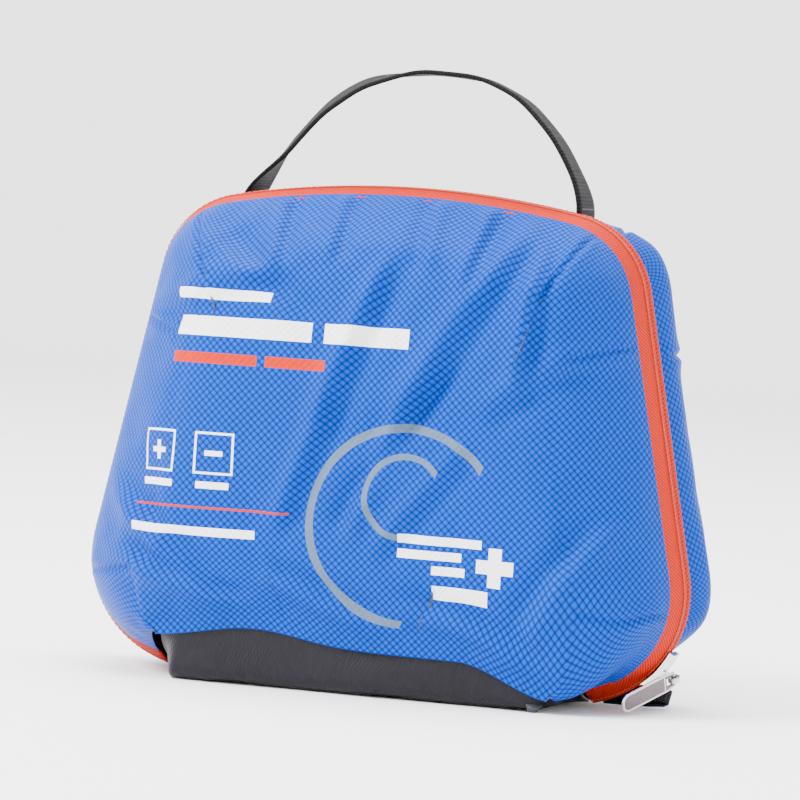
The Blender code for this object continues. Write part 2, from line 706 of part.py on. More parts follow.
def main():
    """Builds the kit and hangs each moving piece from the empty on its joint's axis."""
    clear_scene()
    front = [make_front_shell(), *make_tapes(), *make_bindings(), *make_front_pocket()]
    make_front_corner(1)
    make_front_corner(-1)
    make_rear_shell()
    make_base_panel()
    make_zipper_tab()
    make_anchor(1)
    make_anchor(-1)
    make_packets()
    make_rolls()
    make_bottle()
    make_ointment()
    make_tweezers()
    slider, pull = make_slider(), make_pull()
    plunger, syringe_centre = make_syringe()
    joint_empty("front_fold", FRONT_HINGE, *front)
    joint_empty("slider_travel", (LOW_X, 0.0, LOW_Z), slider)
    joint_empty("pull_swing", polar(PIVOT_RADIUS, SLIDER_ANGLE, 0.0), pull)
    joint_empty("handle_lean", (0.0, HANDLE_Y, HANDLE_PIVOT_Z), make_handle())
    joint_empty("shears_open", SHEARS_RIVET, make_shears())
    joint_empty("plunger_travel", syringe_centre, plunger)


main()
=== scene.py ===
"""First aid kit: a zipped soft pouch of woven nylon, with its zipper, carry handle and supplies.

Everything is in metres, +Z up. The front faces -Y, the zipper lies in the plane Y = 0, and the
origin is the middle of the base's underside.
"""

import logging
import math
from collections.abc import Sequence
from dataclasses import dataclass, field
from enum import Enum

import bmesh
import bpy
import numpy as np
from mathutils import Matrix, Vector


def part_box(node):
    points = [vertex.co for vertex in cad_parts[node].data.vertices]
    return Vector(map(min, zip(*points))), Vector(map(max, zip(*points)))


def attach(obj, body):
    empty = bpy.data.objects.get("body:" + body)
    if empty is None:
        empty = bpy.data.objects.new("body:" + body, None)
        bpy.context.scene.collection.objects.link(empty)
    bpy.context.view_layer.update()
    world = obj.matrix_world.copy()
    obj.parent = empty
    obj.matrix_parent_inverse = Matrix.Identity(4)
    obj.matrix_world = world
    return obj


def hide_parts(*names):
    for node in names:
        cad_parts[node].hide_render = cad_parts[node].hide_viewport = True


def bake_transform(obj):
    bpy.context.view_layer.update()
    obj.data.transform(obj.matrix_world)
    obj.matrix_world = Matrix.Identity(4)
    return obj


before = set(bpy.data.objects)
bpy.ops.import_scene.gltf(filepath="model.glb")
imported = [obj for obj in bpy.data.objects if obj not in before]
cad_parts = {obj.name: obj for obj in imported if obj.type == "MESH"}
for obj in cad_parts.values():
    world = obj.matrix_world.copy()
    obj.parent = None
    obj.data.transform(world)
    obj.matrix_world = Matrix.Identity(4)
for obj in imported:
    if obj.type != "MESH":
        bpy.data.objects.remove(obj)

logging.basicConfig(level=logging.INFO, format="%(message)s")
log = logging.getLogger("first_aid_kit")

CLOTH_UV = "cloth"

# The direction in which a printed ring is left open, and how far along it the gap starts
RING_GAP, RING_GAP_START = (0.90, -0.43, 0.0), 0.42


# ------------------------------------------------------------------ colours and nodes


def linear(hex_colour: str) -> tuple[float, float, float, float]:
    """Turns an sRGB hex colour to linear RGBA.

    Args:
        hex_colour: A colour such as "#1f6fe0".

    Returns:
        Red, green, blue and an alpha of 1.
    """
    values = [int(hex_colour[i : i + 2], 16) / 255 for i in (1, 3, 5)]
    red, green, blue = (v / 12.92 if v <= 0.04045 else ((v + 0.055) / 1.055) ** 2.4 for v in values)
    return red, green, blue, 1.0


def darkened(hex_colour: str, share: float) -> tuple[float, float, float, float]:
    """The linear RGBA of an sRGB hex colour, with its light cut to a share."""
    red, green, blue, alpha = linear(hex_colour)
    return red * share, green * share, blue * share, alpha


def add_node(
    tree: bpy.types.NodeTree, kind: str, inputs: dict | None = None, **settings: object
) -> bpy.types.Node:
    """Adds a node with its settings, values and links.

    Args:
        tree: The node tree.
        kind: The node's type name.
        inputs: Input name or index to a value, or to the output socket linked to it.
        settings: Attributes of the node.

    Returns:
        The new node.
    """
    node = tree.nodes.new(kind)
    for name, value in settings.items():
        setattr(node, name, value)
    for key, value in (inputs or {}).items():
        if isinstance(value, bpy.types.NodeSocket):
            tree.links.new(value, node.inputs[key])
        else:
            node.inputs[key].default_value = value
    return node


def new_surface(
    name: str, **sockets: object
) -> tuple[bpy.types.Material, bpy.types.NodeTree, bpy.types.Node]:
    """Starts a material with one Principled shader.

    Args:
        name: The material's name.
        sockets: Values for the shader's sockets, with _ for a space in each name.

    Returns:
        The material, its tree and its shader.
    """
    material = bpy.data.materials.new(name)
    material.use_nodes = True
    tree = material.node_tree
    shader = tree.nodes["Principled BSDF"]
    for socket, value in sockets.items():
        shader.inputs[socket.replace("_", " ")].default_value = value
    return material, tree, shader


class PrintShape(Enum):
    """Shapes that are printed on cloth or paper."""

    BAR = "bar"
    FRAME = "frame"
    RING = "ring"


@dataclass(frozen=True)
class Print:
    """One flat printed shape, placed on a cloth's own metres.

    Attributes:
        shape: A solid bar, a square frame, or a ring left open on its lower right.
        centre: Its middle, across and up.
        size: Its width and height. A ring and a frame are as wide as high.
        colour: The ink's sRGB hex colour.
        line: Line width of a frame or ring.
    """

    shape: PrintShape
    centre: tuple[float, float]
    size: tuple[float, float]
    colour: str
    line: float = 0.001

    def cover(self, tree: bpy.types.NodeTree, place: bpy.types.NodeSocket) -> bpy.types.NodeSocket:
        """Builds the mask that is 1 where the ink lies.

        Args:
            tree: The node tree.
            place: The cloth's coordinates in metres.

        Returns:
            The mask's socket.
        """
        half = (self.size[0] / 2, self.size[1] / 2, 1.0)
        placed = add_node(
            tree,
            "ShaderNodeMapping",
            {"Vector": place, "Location": (*self.centre, 0.0), "Scale": half},
            vector_type="TEXTURE",
        ).outputs["Vector"]
        band = self.line / self.size[0]
        if self.shape is PrintShape.RING:
            reach = add_node(tree, "ShaderNodeVectorMath", {0: placed}, operation="LENGTH")
            edge = {0: reach.outputs["Value"], 1: 1 - band, 2: band}
            ring = add_node(tree, "ShaderNodeMath", edge, operation="COMPARE")
            facing = {0: placed, 1: RING_GAP}
            toward = add_node(tree, "ShaderNodeVectorMath", facing, operation="DOT_PRODUCT")
            far_side = {0: toward.outputs["Value"], 1: RING_GAP_START}
            kept = add_node(tree, "ShaderNodeMath", far_side, operation="LESS_THAN")
            both = {0: ring.outputs[0], 1: kept.outputs[0]}
            return add_node(tree, "ShaderNodeMath", both, operation="MULTIPLY").outputs[0]
        sides = add_node(tree, "ShaderNodeVectorMath", {0: placed}, operation="ABSOLUTE")
        split = add_node(tree, "ShaderNodeSeparateXYZ", {"Vector": sides.outputs["Vector"]})
        both = {0: split.outputs["X"], 1: split.outputs["Y"]}
        far = add_node(tree, "ShaderNodeMath", both, operation="MAXIMUM")
        if self.shape is PrintShape.FRAME:
            edge = {0: far.outputs[0], 1: 1 - band, 2: band}
            return add_node(tree, "ShaderNodeMath", edge, operation="COMPARE").outputs[0]
        return add_node(tree, "ShaderNodeMath", {0: far.outputs[0], 1: 1.0}, operation="LESS_THAN").outputs[0]


def printed(
    tree: bpy.types.NodeTree,
    place: bpy.types.NodeSocket,
    ground: bpy.types.NodeSocket,
    prints: Sequence[Print],
) -> bpy.types.NodeSocket:
    """Lays inks over a ground colour, one after another.

    Args:
        tree: The node tree.
        place: The surface's coordinates in metres.
        ground: The colour under the inks.
        prints: The inks.

    Returns:
        The colour with the inks on it.
    """
    for ink in prints:
        mixed = {0: ink.cover(tree, place), 6: ground, 7: linear(ink.colour)}
        ground = add_node(tree, "ShaderNodeMix", mixed, data_type="RGBA").outputs[2]
    return ground


def cloth_place(tree: bpy.types.NodeTree) -> bpy.types.NodeSocket:
    """The cloth's own coordinates in metres, along and across its weave."""
    return add_node(tree, "ShaderNodeUVMap", uv_map=CLOTH_UV).outputs["UV"]


def object_place(tree: bpy.types.NodeTree) -> bpy.types.NodeSocket:
    """The object's coordinates in metres."""
    return add_node(tree, "ShaderNodeTexCoord").outputs["Object"]


# ------------------------------------------------------------------ finishes


@dataclass(frozen=True)
class JacquardNylon:
    """Jacquard-woven nylon: small raised lozenges of bright yarn between darker sunken lines.

    Attributes:
        name: The material's name.
        raised: Colour of the lozenges.
        sunken: Colour of the lines between them.
        pitch: Distance from one lozenge to the next.
        prints: Inks on the cloth.
    """

    name: str
    raised: str = "#0047b4"
    sunken: str = "#001556"
    pitch: float = 0.00185
    prints: tuple[Print, ...] = ()

    def build(self) -> bpy.types.Material:
        """Builds the material."""
        material, tree, shader = new_surface(self.name, Roughness=0.45, Specular_IOR_Level=0.12)
        shader.inputs["Specular Tint"].default_value = linear("#5aa0ff")
        place = cloth_place(tree)
        wave = math.pi / self.pitch
        turn = (0.0, 0.0, math.radians(45))
        bias = {"Vector": place, "Rotation": turn, "Scale": (wave, wave, 1.0)}
        slanted = add_node(tree, "ShaderNodeMapping", bias).outputs["Vector"]
        humps = add_node(tree, "ShaderNodeVectorMath", {0: slanted}, operation="SINE")
        split = add_node(tree, "ShaderNodeSeparateXYZ", {"Vector": humps.outputs["Vector"]})
        product = {0: split.outputs["X"], 1: split.outputs["Y"]}
        pads = add_node(tree, "ShaderNodeMath", product, operation="MULTIPLY")
        size = add_node(tree, "ShaderNodeMath", {0: pads.outputs[0]}, operation="ABSOLUTE")
        lozenge = add_node(tree, "ShaderNodeMath", {0: size.outputs[0], 1: 0.55}, operation="POWER")
        # Real yarn is about 0.15 mm; drawn at 0.5 mm so that it shows
        yarn = {"Vector": place, "Scale": 2000.0, "Detail": 1.0}
        fibres = add_node(tree, "ShaderNodeTexNoise", yarn)
        # Cloudy patches in which the lozenges are drawn toward their bright colour are painted sheen
        cloudy = add_node(tree, "ShaderNodeTexNoise", {"Vector": place, "Scale": 45.0, "Detail": 2.0})
        painted_sheen_inputs = {0: lozenge.outputs[0], 1: cloudy.outputs["Fac"]}
        painted_sheen = add_node(tree, "ShaderNodeMath", {**painted_sheen_inputs, 2: -0.28}, operation="MULTIPLY_ADD")
        tint = {0: lozenge.outputs[0], 6: linear(self.sunken), 7: linear(self.raised)}
        weave = add_node(tree, "ShaderNodeMix", tint, data_type="RGBA").outputs[2]
        sheen_mix = {0: painted_sheen.outputs[0], 6: weave, 7: linear(self.raised)}
        weave = add_node(tree, "ShaderNodeMix", sheen_mix, data_type="RGBA").outputs[2]
        tree.links.new(printed(tree, place, weave, self.prints), shader.inputs["Base Color"])
        height = {0: fibres.outputs["Fac"], 1: 0.25, 2: lozenge.outputs[0]}
        relief = add_node(tree, "ShaderNodeMath", height, operation="MULTIPLY_ADD")
        pads_up = {"Height": relief.outputs[0], "Distance": 0.00028, "Strength": 0.9}
        bump = add_node(tree, "ShaderNodeBump", pads_up)
        tree.links.new(bump.outputs["Normal"], shader.inputs["Normal"])
        return material


@dataclass(frozen=True)
class RibbedCloth:
    """Narrow woven goods with a slanted or straight rib, such as twill tape and webbing.

    Attributes:
        name: The material's name.
        raised: Colour of the ribs.
        sunken: Colour between them.
        pitch: Distance between ribs.
        slant: Angle of the ribs to the cloth's width, in degrees.
        depth: Height of the ribs.
        roughness: How matt it is.
    """

    name: str
    raised: str
    sunken: str
    pitch: float
    slant: float = 0.0
    depth: float = 0.0002
    roughness: float = 0.7

    def build(self) -> bpy.types.Material:
        """Builds the material."""
        material, tree, shader = new_surface(
            self.name, Roughness=self.roughness, Specular_IOR_Level=0.12
        )
        place = cloth_place(tree)
        wave = 2 * math.pi / self.pitch
        turn = (0.0, 0.0, math.radians(self.slant))
        slanted = {"Vector": place, "Rotation": turn, "Scale": (wave, wave, 1.0)}
        along = add_node(tree, "ShaderNodeMapping", slanted)
        humps = add_node(tree, "ShaderNodeVectorMath", {0: along.outputs["Vector"]}, operation="SINE")
        split = add_node(tree, "ShaderNodeSeparateXYZ", {"Vector": humps.outputs["Vector"]})
        # Ribs run one way, and the finer cross threads show half as strongly
        cross = {0: split.outputs["Y"], 1: 0.35, 2: split.outputs["X"]}
        ribs = add_node(tree, "ShaderNodeMath", cross, operation="MULTIPLY_ADD")
        level = {"Value": ribs.outputs[0], "From Min": -1.2, "From Max": 1.2}
        height = add_node(tree, "ShaderNodeMapRange", level).outputs["Result"]
        fuzz = add_node(tree, "ShaderNodeTexNoise", {"Vector": place, "Scale": 900.0, "Detail": 2.0})
        mixed = {0: fuzz.outputs["Fac"], 1: 0.3, 2: height}
        rough = add_node(tree, "ShaderNodeMath", mixed, operation="MULTIPLY_ADD").outputs[0]
        tint = {0: rough, 6: linear(self.sunken), 7: linear(self.raised)}
        weave = add_node(tree, "ShaderNodeMix", tint, data_type="RGBA")
        tree.links.new(weave.outputs[2], shader.inputs["Base Color"])
        relief = {"Height": rough, "Distance": self.depth, "Strength": 0.8}
        bump = add_node(tree, "ShaderNodeBump", relief)
        tree.links.new(bump.outputs["Normal"], shader.inputs["Normal"])
        return material


@dataclass(frozen=True)
class CoatedPackcloth:
    """Packcloth with a satin polyurethane coat: a fine slanted weave under a soft shine.

    Attributes:
        name: The material's name.
        light: Colour where the coat is worn smooth.
        dark: Colour in the weave.
        roughness: How matt the coat is.
    """

    name: str
    light: str
    dark: str
    roughness: float = 0.42

    def build(self) -> bpy.types.Material:
        """Builds the material."""
        material, tree, shader = new_surface(self.name, Specular_IOR_Level=0.18)
        place = cloth_place(tree)
        # Real yarn pitch is about 0.5 mm; drawn at 0.9 mm so that it shows
        wave = 2 * math.pi / 0.0009
        turn = (0.0, 0.0, math.radians(38))
        slanted = {"Vector": place, "Rotation": turn, "Scale": (wave, wave * 0.5, 1.0)}
        along = add_node(tree, "ShaderNodeMapping", slanted)
        humps = add_node(tree, "ShaderNodeVectorMath", {0: along.outputs["Vector"]}, operation="SINE")
        split = add_node(tree, "ShaderNodeSeparateXYZ", {"Vector": humps.outputs["Vector"]})
        product = {0: split.outputs["X"], 1: split.outputs["Y"]}
        twill = add_node(tree, "ShaderNodeMath", product, operation="ADD")
        cloudy = add_node(tree, "ShaderNodeTexNoise", {"Vector": place, "Scale": 60.0, "Detail": 4.0})
        tint = {0: cloudy.outputs["Fac"], 6: linear(self.dark), 7: linear(self.light)}
        colour = add_node(tree, "ShaderNodeMix", tint, data_type="RGBA")
        tree.links.new(colour.outputs[2], shader.inputs["Base Color"])
        smoothest, mattest = self.roughness - 0.08, self.roughness + 0.14
        matt = {"Value": cloudy.outputs["Fac"], "To Min": smoothest, "To Max": mattest}
        roughness = add_node(tree, "ShaderNodeMapRange", matt).outputs["Result"]
        tree.links.new(roughness, shader.inputs["Roughness"])
        relief = {"Height": twill.outputs[0], "Distance": 0.00006, "Strength": 0.6}
        fine = add_node(tree, "ShaderNodeBump", relief)
        creased = add_node(tree, "ShaderNodeTexNoise", {"Vector": place, "Scale": 150.0, "Detail": 3.0})
        folds = {"Height": creased.outputs["Fac"], "Distance": 0.0006, "Strength": 0.35}
        bump = add_node(tree, "ShaderNodeBump", {**folds, "Normal": fine.outputs[0]})
        tree.links.new(bump.outputs["Normal"], shader.inputs["Normal"])
        return material


@dataclass(frozen=True)
class Metal:
    """Plated or ground metal: a bright mirror with hairline scratches and cloudy handling marks.

    Attributes:
        name: The material's name.
        colour: Its sRGB hex colour.
        roughness: How blurred its reflections are.
        grain: How much longer the scratches are than wide.
    """

    name: str
    colour: str = "#d9dade"
    roughness: float = 0.16
    grain: float = 1.0

    def build(self) -> bpy.types.Material:
        """Builds the material."""
        material, tree, shader = new_surface(self.name, Metallic=1.0, Base_Color=linear(self.colour))
        stretch = {"Vector": object_place(tree), "Scale": (1.0, 1.0, 1.0 / self.grain)}
        place = add_node(tree, "ShaderNodeMapping", stretch).outputs["Vector"]
        marks = add_node(tree, "ShaderNodeTexNoise", {"Vector": place, "Scale": 900.0, "Detail": 6.0})
        level = {
            "Value": marks.outputs["Fac"],
            "From Min": 0.3,
            "From Max": 0.7,
            "To Min": self.roughness * 0.7,
            "To Max": self.roughness * 1.6,
        }
        roughness = add_node(tree, "ShaderNodeMapRange", level).outputs["Result"]
        tree.links.new(roughness, shader.inputs["Roughness"])
        relief = {"Height": marks.outputs["Fac"], "Distance": 0.00002, "Strength": 0.4}
        tree.links.new(add_node(tree, "ShaderNodeBump", relief).outputs["Normal"], shader.inputs["Normal"])
        return material


@dataclass(frozen=True)
class MouldedPlastic:
    """Moulded plastic: an even colour, a faint pebble from the mould, and slight mottling.

    Attributes:
        name: The material's name.
        colour: Its sRGB hex colour.
        roughness: How matt it is.
        clearness: How much light goes through it.
    """

    name: str
    colour: str
    roughness: float = 0.4
    clearness: float = 0.0

    def build(self) -> bpy.types.Material:
        """Builds the material."""
        material, tree, shader = new_surface(self.name, Transmission_Weight=self.clearness, IOR=1.49)
        place = object_place(tree)
        mottled = add_node(tree, "ShaderNodeTexNoise", {"Vector": place, "Scale": 120.0, "Detail": 3.0})
        tint = {0: mottled.outputs["Fac"], 6: darkened(self.colour, 0.82), 7: linear(self.colour)}
        colour = add_node(tree, "ShaderNodeMix", tint, data_type="RGBA")
        tree.links.new(colour.outputs[2], shader.inputs["Base Color"])
        smoothest, mattest = self.roughness * 0.8, self.roughness * 1.2
        matt = {"Value": mottled.outputs["Fac"], "To Min": smoothest, "To Max": mattest}
        roughness = add_node(tree, "ShaderNodeMapRange", matt).outputs["Result"]
        tree.links.new(roughness, shader.inputs["Roughness"])
        pebble = add_node(tree, "ShaderNodeTexNoise", {"Vector": place, "Scale": 2500.0, "Detail": 1.0})
        relief = {"Height": pebble.outputs["Fac"], "Distance": 0.00003, "Strength": 0.3}
        tree.links.new(add_node(tree, "ShaderNodeBump", relief).outputs["Normal"], shader.inputs["Normal"])
        return material


@dataclass(frozen=True)
class Wrapper:
    """Packet paper or film: a flat colour with printed bars, fine crinkles and a soft gloss.

    Attributes:
        name: The material's name.
        colour: Its sRGB hex colour.
        roughness: How matt it is.
        crinkle: Height of its crinkles.
        prints: Inks on it.
    """

    name: str
    colour: str
    roughness: float = 0.4
    crinkle: float = 0.0003
    prints: tuple[Print, ...] = ()

    def build(self) -> bpy.types.Material:
        """Builds the material."""
        material, tree, shader = new_surface(self.name, Roughness=self.roughness)
        place = cloth_place(tree)
        cloudy = add_node(tree, "ShaderNodeTexNoise", {"Vector": place, "Scale": 180.0, "Detail": 4.0})
        tint = {0: cloudy.outputs["Fac"], 6: darkened(self.colour, 0.85), 7: linear(self.colour)}
        ground = add_node(tree, "ShaderNodeMix", tint, data_type="RGBA").outputs[2]
        tree.links.new(printed(tree, place, ground, self.prints), shader.inputs["Base Color"])
        relief = {"Height": cloudy.outputs["Fac"], "Distance": self.crinkle, "Strength": 0.7}
        tree.links.new(add_node(tree, "ShaderNodeBump", relief).outputs["Normal"], shader.inputs["Normal"])
        return material


# ------------------------------------------------------------------ meshes


def mesh_piece(
    name: str,
    points: np.ndarray,
    faces: list[tuple[int, ...]],
    material: bpy.types.Material,
    uv: np.ndarray | None = None,
    sharp: float | None = None,
) -> bpy.types.Object:
    """Makes an object of a mesh.

    Args:
        name: The piece's name.
        points: Its points, one a row.
        faces: Its faces, as point indices.
        material: Its finish.
        uv: A cloth coordinate in metres for each point.
        sharp: Edges sharper than this angle in degrees stay sharp.

    Returns:
        The object, in the scene.
    """
    mesh = bpy.data.meshes.new(name)
    mesh.from_pydata(np.asarray(points, float).tolist(), [], faces)
    if uv is None:
        uv = np.asarray(points, float)[:, (0, 2)]
    layer = mesh.uv_layers.new(name=CLOTH_UV)
    corners = np.empty(len(mesh.loops), np.int32)
    mesh.loops.foreach_get("vertex_index", corners)
    layer.data.foreach_set("uv", np.asarray(uv, np.float32)[corners].ravel())
    mesh.materials.append(material)
    mesh.shade_smooth()
    if sharp is not None:
        mesh.set_sharp_from_angle(angle=math.radians(sharp))
    obj = bpy.data.objects.new(name, mesh)
    bpy.context.scene.collection.objects.link(obj)
    return obj


def stand(piece: bpy.types.Object, node: str, body: str = "case") -> bpy.types.Object:
    """Puts a piece in place of a CAD node.

    Args:
        piece: The piece.
        node: The CAD node it stands for.
        body: The body it rides on.

    Returns:
        The same piece.
    """
    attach(piece, body)
    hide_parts(node)
    return piece


def box_of(node: str) -> tuple[np.ndarray, np.ndarray]:
    """The low and high corners of a CAD node's box."""
    low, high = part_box(node)
    return np.array(low), np.array(high)


def vectors_of(mesh: bpy.types.Mesh, attribute: str = "co") -> np.ndarray:
    """A vector at each of a mesh's points, one a row."""
    values = np.empty(len(mesh.vertices) * 3)
    mesh.vertices.foreach_get(attribute, values)
    return values.reshape(-1, 3)


def move_points(obj: bpy.types.Object, points: np.ndarray) -> None:
    """Moves an object's points."""
    obj.data.vertices.foreach_set("co", points.ravel())
    obj.data.update()


def run_along(path: np.ndarray) -> np.ndarray:
    """The length of a path up to each of its points."""
    return np.concatenate([[0.0], np.cumsum(np.linalg.norm(np.diff(path, axis=0), axis=1))])


def grid_faces(rows: int, columns: int, flip: bool = False, ring: bool = False) -> list[tuple[int, ...]]:
    """Faces of a grid of points.

    Args:
        rows: Rows of points.
        columns: Points in a row.
        flip: Turns the faces over.
        ring: Joins each row's last point to its first.

    Returns:
        Quads as point indices.
    """
    faces = []
    for r in range(rows - 1):
        for c in range(columns if ring else columns - 1):
            after = (c + 1) % columns
            face = (r * columns + c, r * columns + after, (r + 1) * columns + after, (r + 1) * columns + c)
            faces.append(face[::-1] if flip else face)
    return faces


def grid_piece(
    name: str,
    grid: np.ndarray,
    material: bpy.types.Material,
    uv: np.ndarray | None = None,
    flip: bool = False,
    ring: bool = False,
) -> bpy.types.Object:
    """Makes a skin through a grid of points, shaped (rows, columns, 3)."""
    rows, columns = grid.shape[:2]
    flat_uv = None if uv is None else uv.reshape(-1, 2)
    return mesh_piece(name, grid.reshape(-1, 3), grid_faces(rows, columns, flip, ring), material, flat_uv)


def settle(obj: bpy.types.Object) -> bpy.types.Object:
    """Applies an object's modifiers to its mesh."""
    bpy.context.view_layer.update()
    graph = bpy.context.evaluated_depsgraph_get()
    made = bpy.data.meshes.new_from_object(
        obj.evaluated_get(graph), preserve_all_data_layers=True, depsgraph=graph
    )
    obj.modifiers.clear()
    obj.data = made
    return obj


def refine(obj: bpy.types.Object, levels: int) -> bpy.types.Object:
    """Subdivides an object into a finer, rounder mesh."""
    finer = obj.modifiers.new("finer", "SUBSURF")
    finer.levels = finer.render_levels = levels
    return settle(obj)


def thicken(
    obj: bpy.types.Object, thickness: float, offset: float = -1.0, lining: bpy.types.Material | None = None
) -> bpy.types.Object:
    """Gives a skin a thickness, and a lining on its inner side.

    Args:
        obj: The skin.
        thickness: Its thickness.
        offset: -1 thickens it inward, 1 outward and 0 both ways.
        lining: The finish of the inner side.

    Returns:
        The same object, with its modifiers applied.
    """
    solid = obj.modifiers.new("thickness", "SOLIDIFY")
    solid.thickness, solid.offset = thickness, offset
    if lining:
        obj.data.materials.append(lining)
        solid.material_offset = 1
    return settle(obj)


def softened(obj: bpy.types.Object, width: float, segments: int = 2) -> bpy.types.Object:
    """Rounds an object's sharp edges and applies it."""
    bevel = obj.modifiers.new("rounded edges", "BEVEL")
    bevel.width, bevel.segments, bevel.limit_method = width, segments, "ANGLE"
    settle(obj)
    obj.data.shade_smooth()
    obj.data.set_sharp_from_angle(angle=math.radians(40))
    return obj


def turned(
    name: str,
    profile: Sequence[tuple[float, float]],
    material: bpy.types.Material,
    axis: str = "Z",
    steps: int = 48,
) -> bpy.types.Object:
    """Turns a closed profile of (radius, height) points, top to bottom down its outer side."""
    ends = [profile[0]] if profile[0][0] > 0 else []
    rings = np.array([*profile, *ends], float)
    angles = np.arange(steps) * 2 * math.pi / steps
    x, y = rings[:, :1] * np.cos(angles), rings[:, :1] * np.sin(angles)
    z = np.repeat(rings[:, 1:], steps, axis=1)
    grid = {"X": (z, x, y), "Y": (y, z, x), "Z": (x, y, z)}[axis]
    points = np.stack(grid, -1).reshape(-1, 3)
    length = run_along(rings)
    around = angles * rings[:, 0].max()
    uv = np.stack([np.broadcast_to(around, x.shape), np.repeat(length[:, None], steps, 1)], -1)
    faces = grid_faces(len(rings), steps, flip=True, ring=True)
    obj = mesh_piece(name, points, faces, material, uv.reshape(-1, 2))
    bm = bmesh.new()
    bm.from_mesh(obj.data)
    bmesh.ops.remove_doubles(bm, verts=bm.verts, dist=1e-6)
    bmesh.ops.dissolve_degenerate(bm, edges=bm.edges, dist=1e-7)
    bmesh.ops.recalc_face_normals(bm, faces=bm.faces)
    bm.to_mesh(obj.data)
    bm.free()
    return softened(obj, 0.0003)


def frames_along(path: np.ndarray, closed: bool = False) -> tuple[np.ndarray, np.ndarray]:
    """Two directions across a path at each point, turning as little as they can."""
    if closed:
        tangent = np.roll(path, -1, 0) - np.roll(path, 1, 0)
    else:
        tangent = np.gradient(path, axis=0)
    tangent /= np.linalg.norm(tangent, axis=1, keepdims=True)
    start = np.eye(3)[np.argmin(np.abs(tangent[0]))]
    sides = np.empty_like(path)
    for i, t in enumerate(tangent):
        start = start - t * (start @ t)
        start /= np.linalg.norm(start)
        sides[i] = start
    return sides, np.cross(tangent, sides)


def wire(
    name: str,
    paths: Sequence[np.ndarray],
    radius: float,
    material: bpy.types.Material,
    sides: int = 6,
    closed: bool = False,
) -> bpy.types.Object:
    """Makes round wires or threads along paths, all in one piece.

    Args:
        name: The piece's name.
        paths: The middle line of each.
        radius: Their radius.
        material: Their finish.
        sides: Sides of their section.
        closed: Joins each path's end to its start, and otherwise closes its ends.

    Returns:
        The object.
    """
    points, faces = [], []
    turn = np.arange(sides) * 2 * math.pi / sides
    for path in paths:
        first = sum(len(p) for p in points)
        a, b = frames_along(path, closed)
        ring = a[:, None] * np.cos(turn)[:, None] + b[:, None] * np.sin(turn)[:, None]
        points.append((path[:, None] + radius * ring).reshape(-1, 3))
        rows = len(path)
        quads = grid_faces(rows, sides, ring=True)
        if closed:
            last = (rows - 1) * sides
            quads += [(last + i, last + (i + 1) % sides, (i + 1) % sides, i) for i in range(sides)]
        else:
            quads += [tuple(reversed(range(sides))), tuple(range((rows - 1) * sides, rows * sides))]
        faces += [tuple(first + i for i in quad) for quad in quads]
    return mesh_piece(name, np.concatenate(points), faces, material)


def resampled(path: np.ndarray, spacing: float) -> np.ndarray:
    """Points at an even spacing along a path."""
    length = run_along(path)
    at = np.linspace(0, length[-1], max(2, round(length[-1] / spacing) + 1))
    return np.stack([np.interp(at, length, path[:, k]) for k in range(3)], 1)


def stitches(
    name: str, path: np.ndarray, away: np.ndarray, material: bpy.types.Material, pitch: float = 0.0031
) -> bpy.types.Object:
    """Lays a row of lockstitches along a path.

    Args:
        name: The piece's name.
        path: The seam line, on the cloth.
        away: The direction away from the cloth at each of its points.
        material: The thread.
        pitch: Distance from one stitch to the next.

    Returns:
        The object.
    """
    seam = np.concatenate([path, away], 1)
    length = run_along(path)
    # Each stitch dives into the cloth at both ends and arches over it between them
    shares = np.array([0.06, 0.2, 0.5, 0.8, 0.94])
    rise = np.array([-0.00012, 0.0001, 0.00016, 0.0001, -0.00012])[:, None]
    threads = []
    for i in range(int(length[-1] / pitch)):
        at = (i + shares) * pitch
        found = np.stack([np.interp(at, length, seam[:, k]) for k in range(6)], 1)
        threads.append(found[:, :3] + found[:, 3:] * rise)
    return wire(name, threads, 0.00024, material, sides=5)


def smooth(t: np.ndarray | float) -> np.ndarray:
    """A smooth step from 0 to 1."""
    t = np.clip(t, 0.0, 1.0)
    return t * t * (3 - 2 * t)


# ------------------------------------------------------------------ the pouch's outline


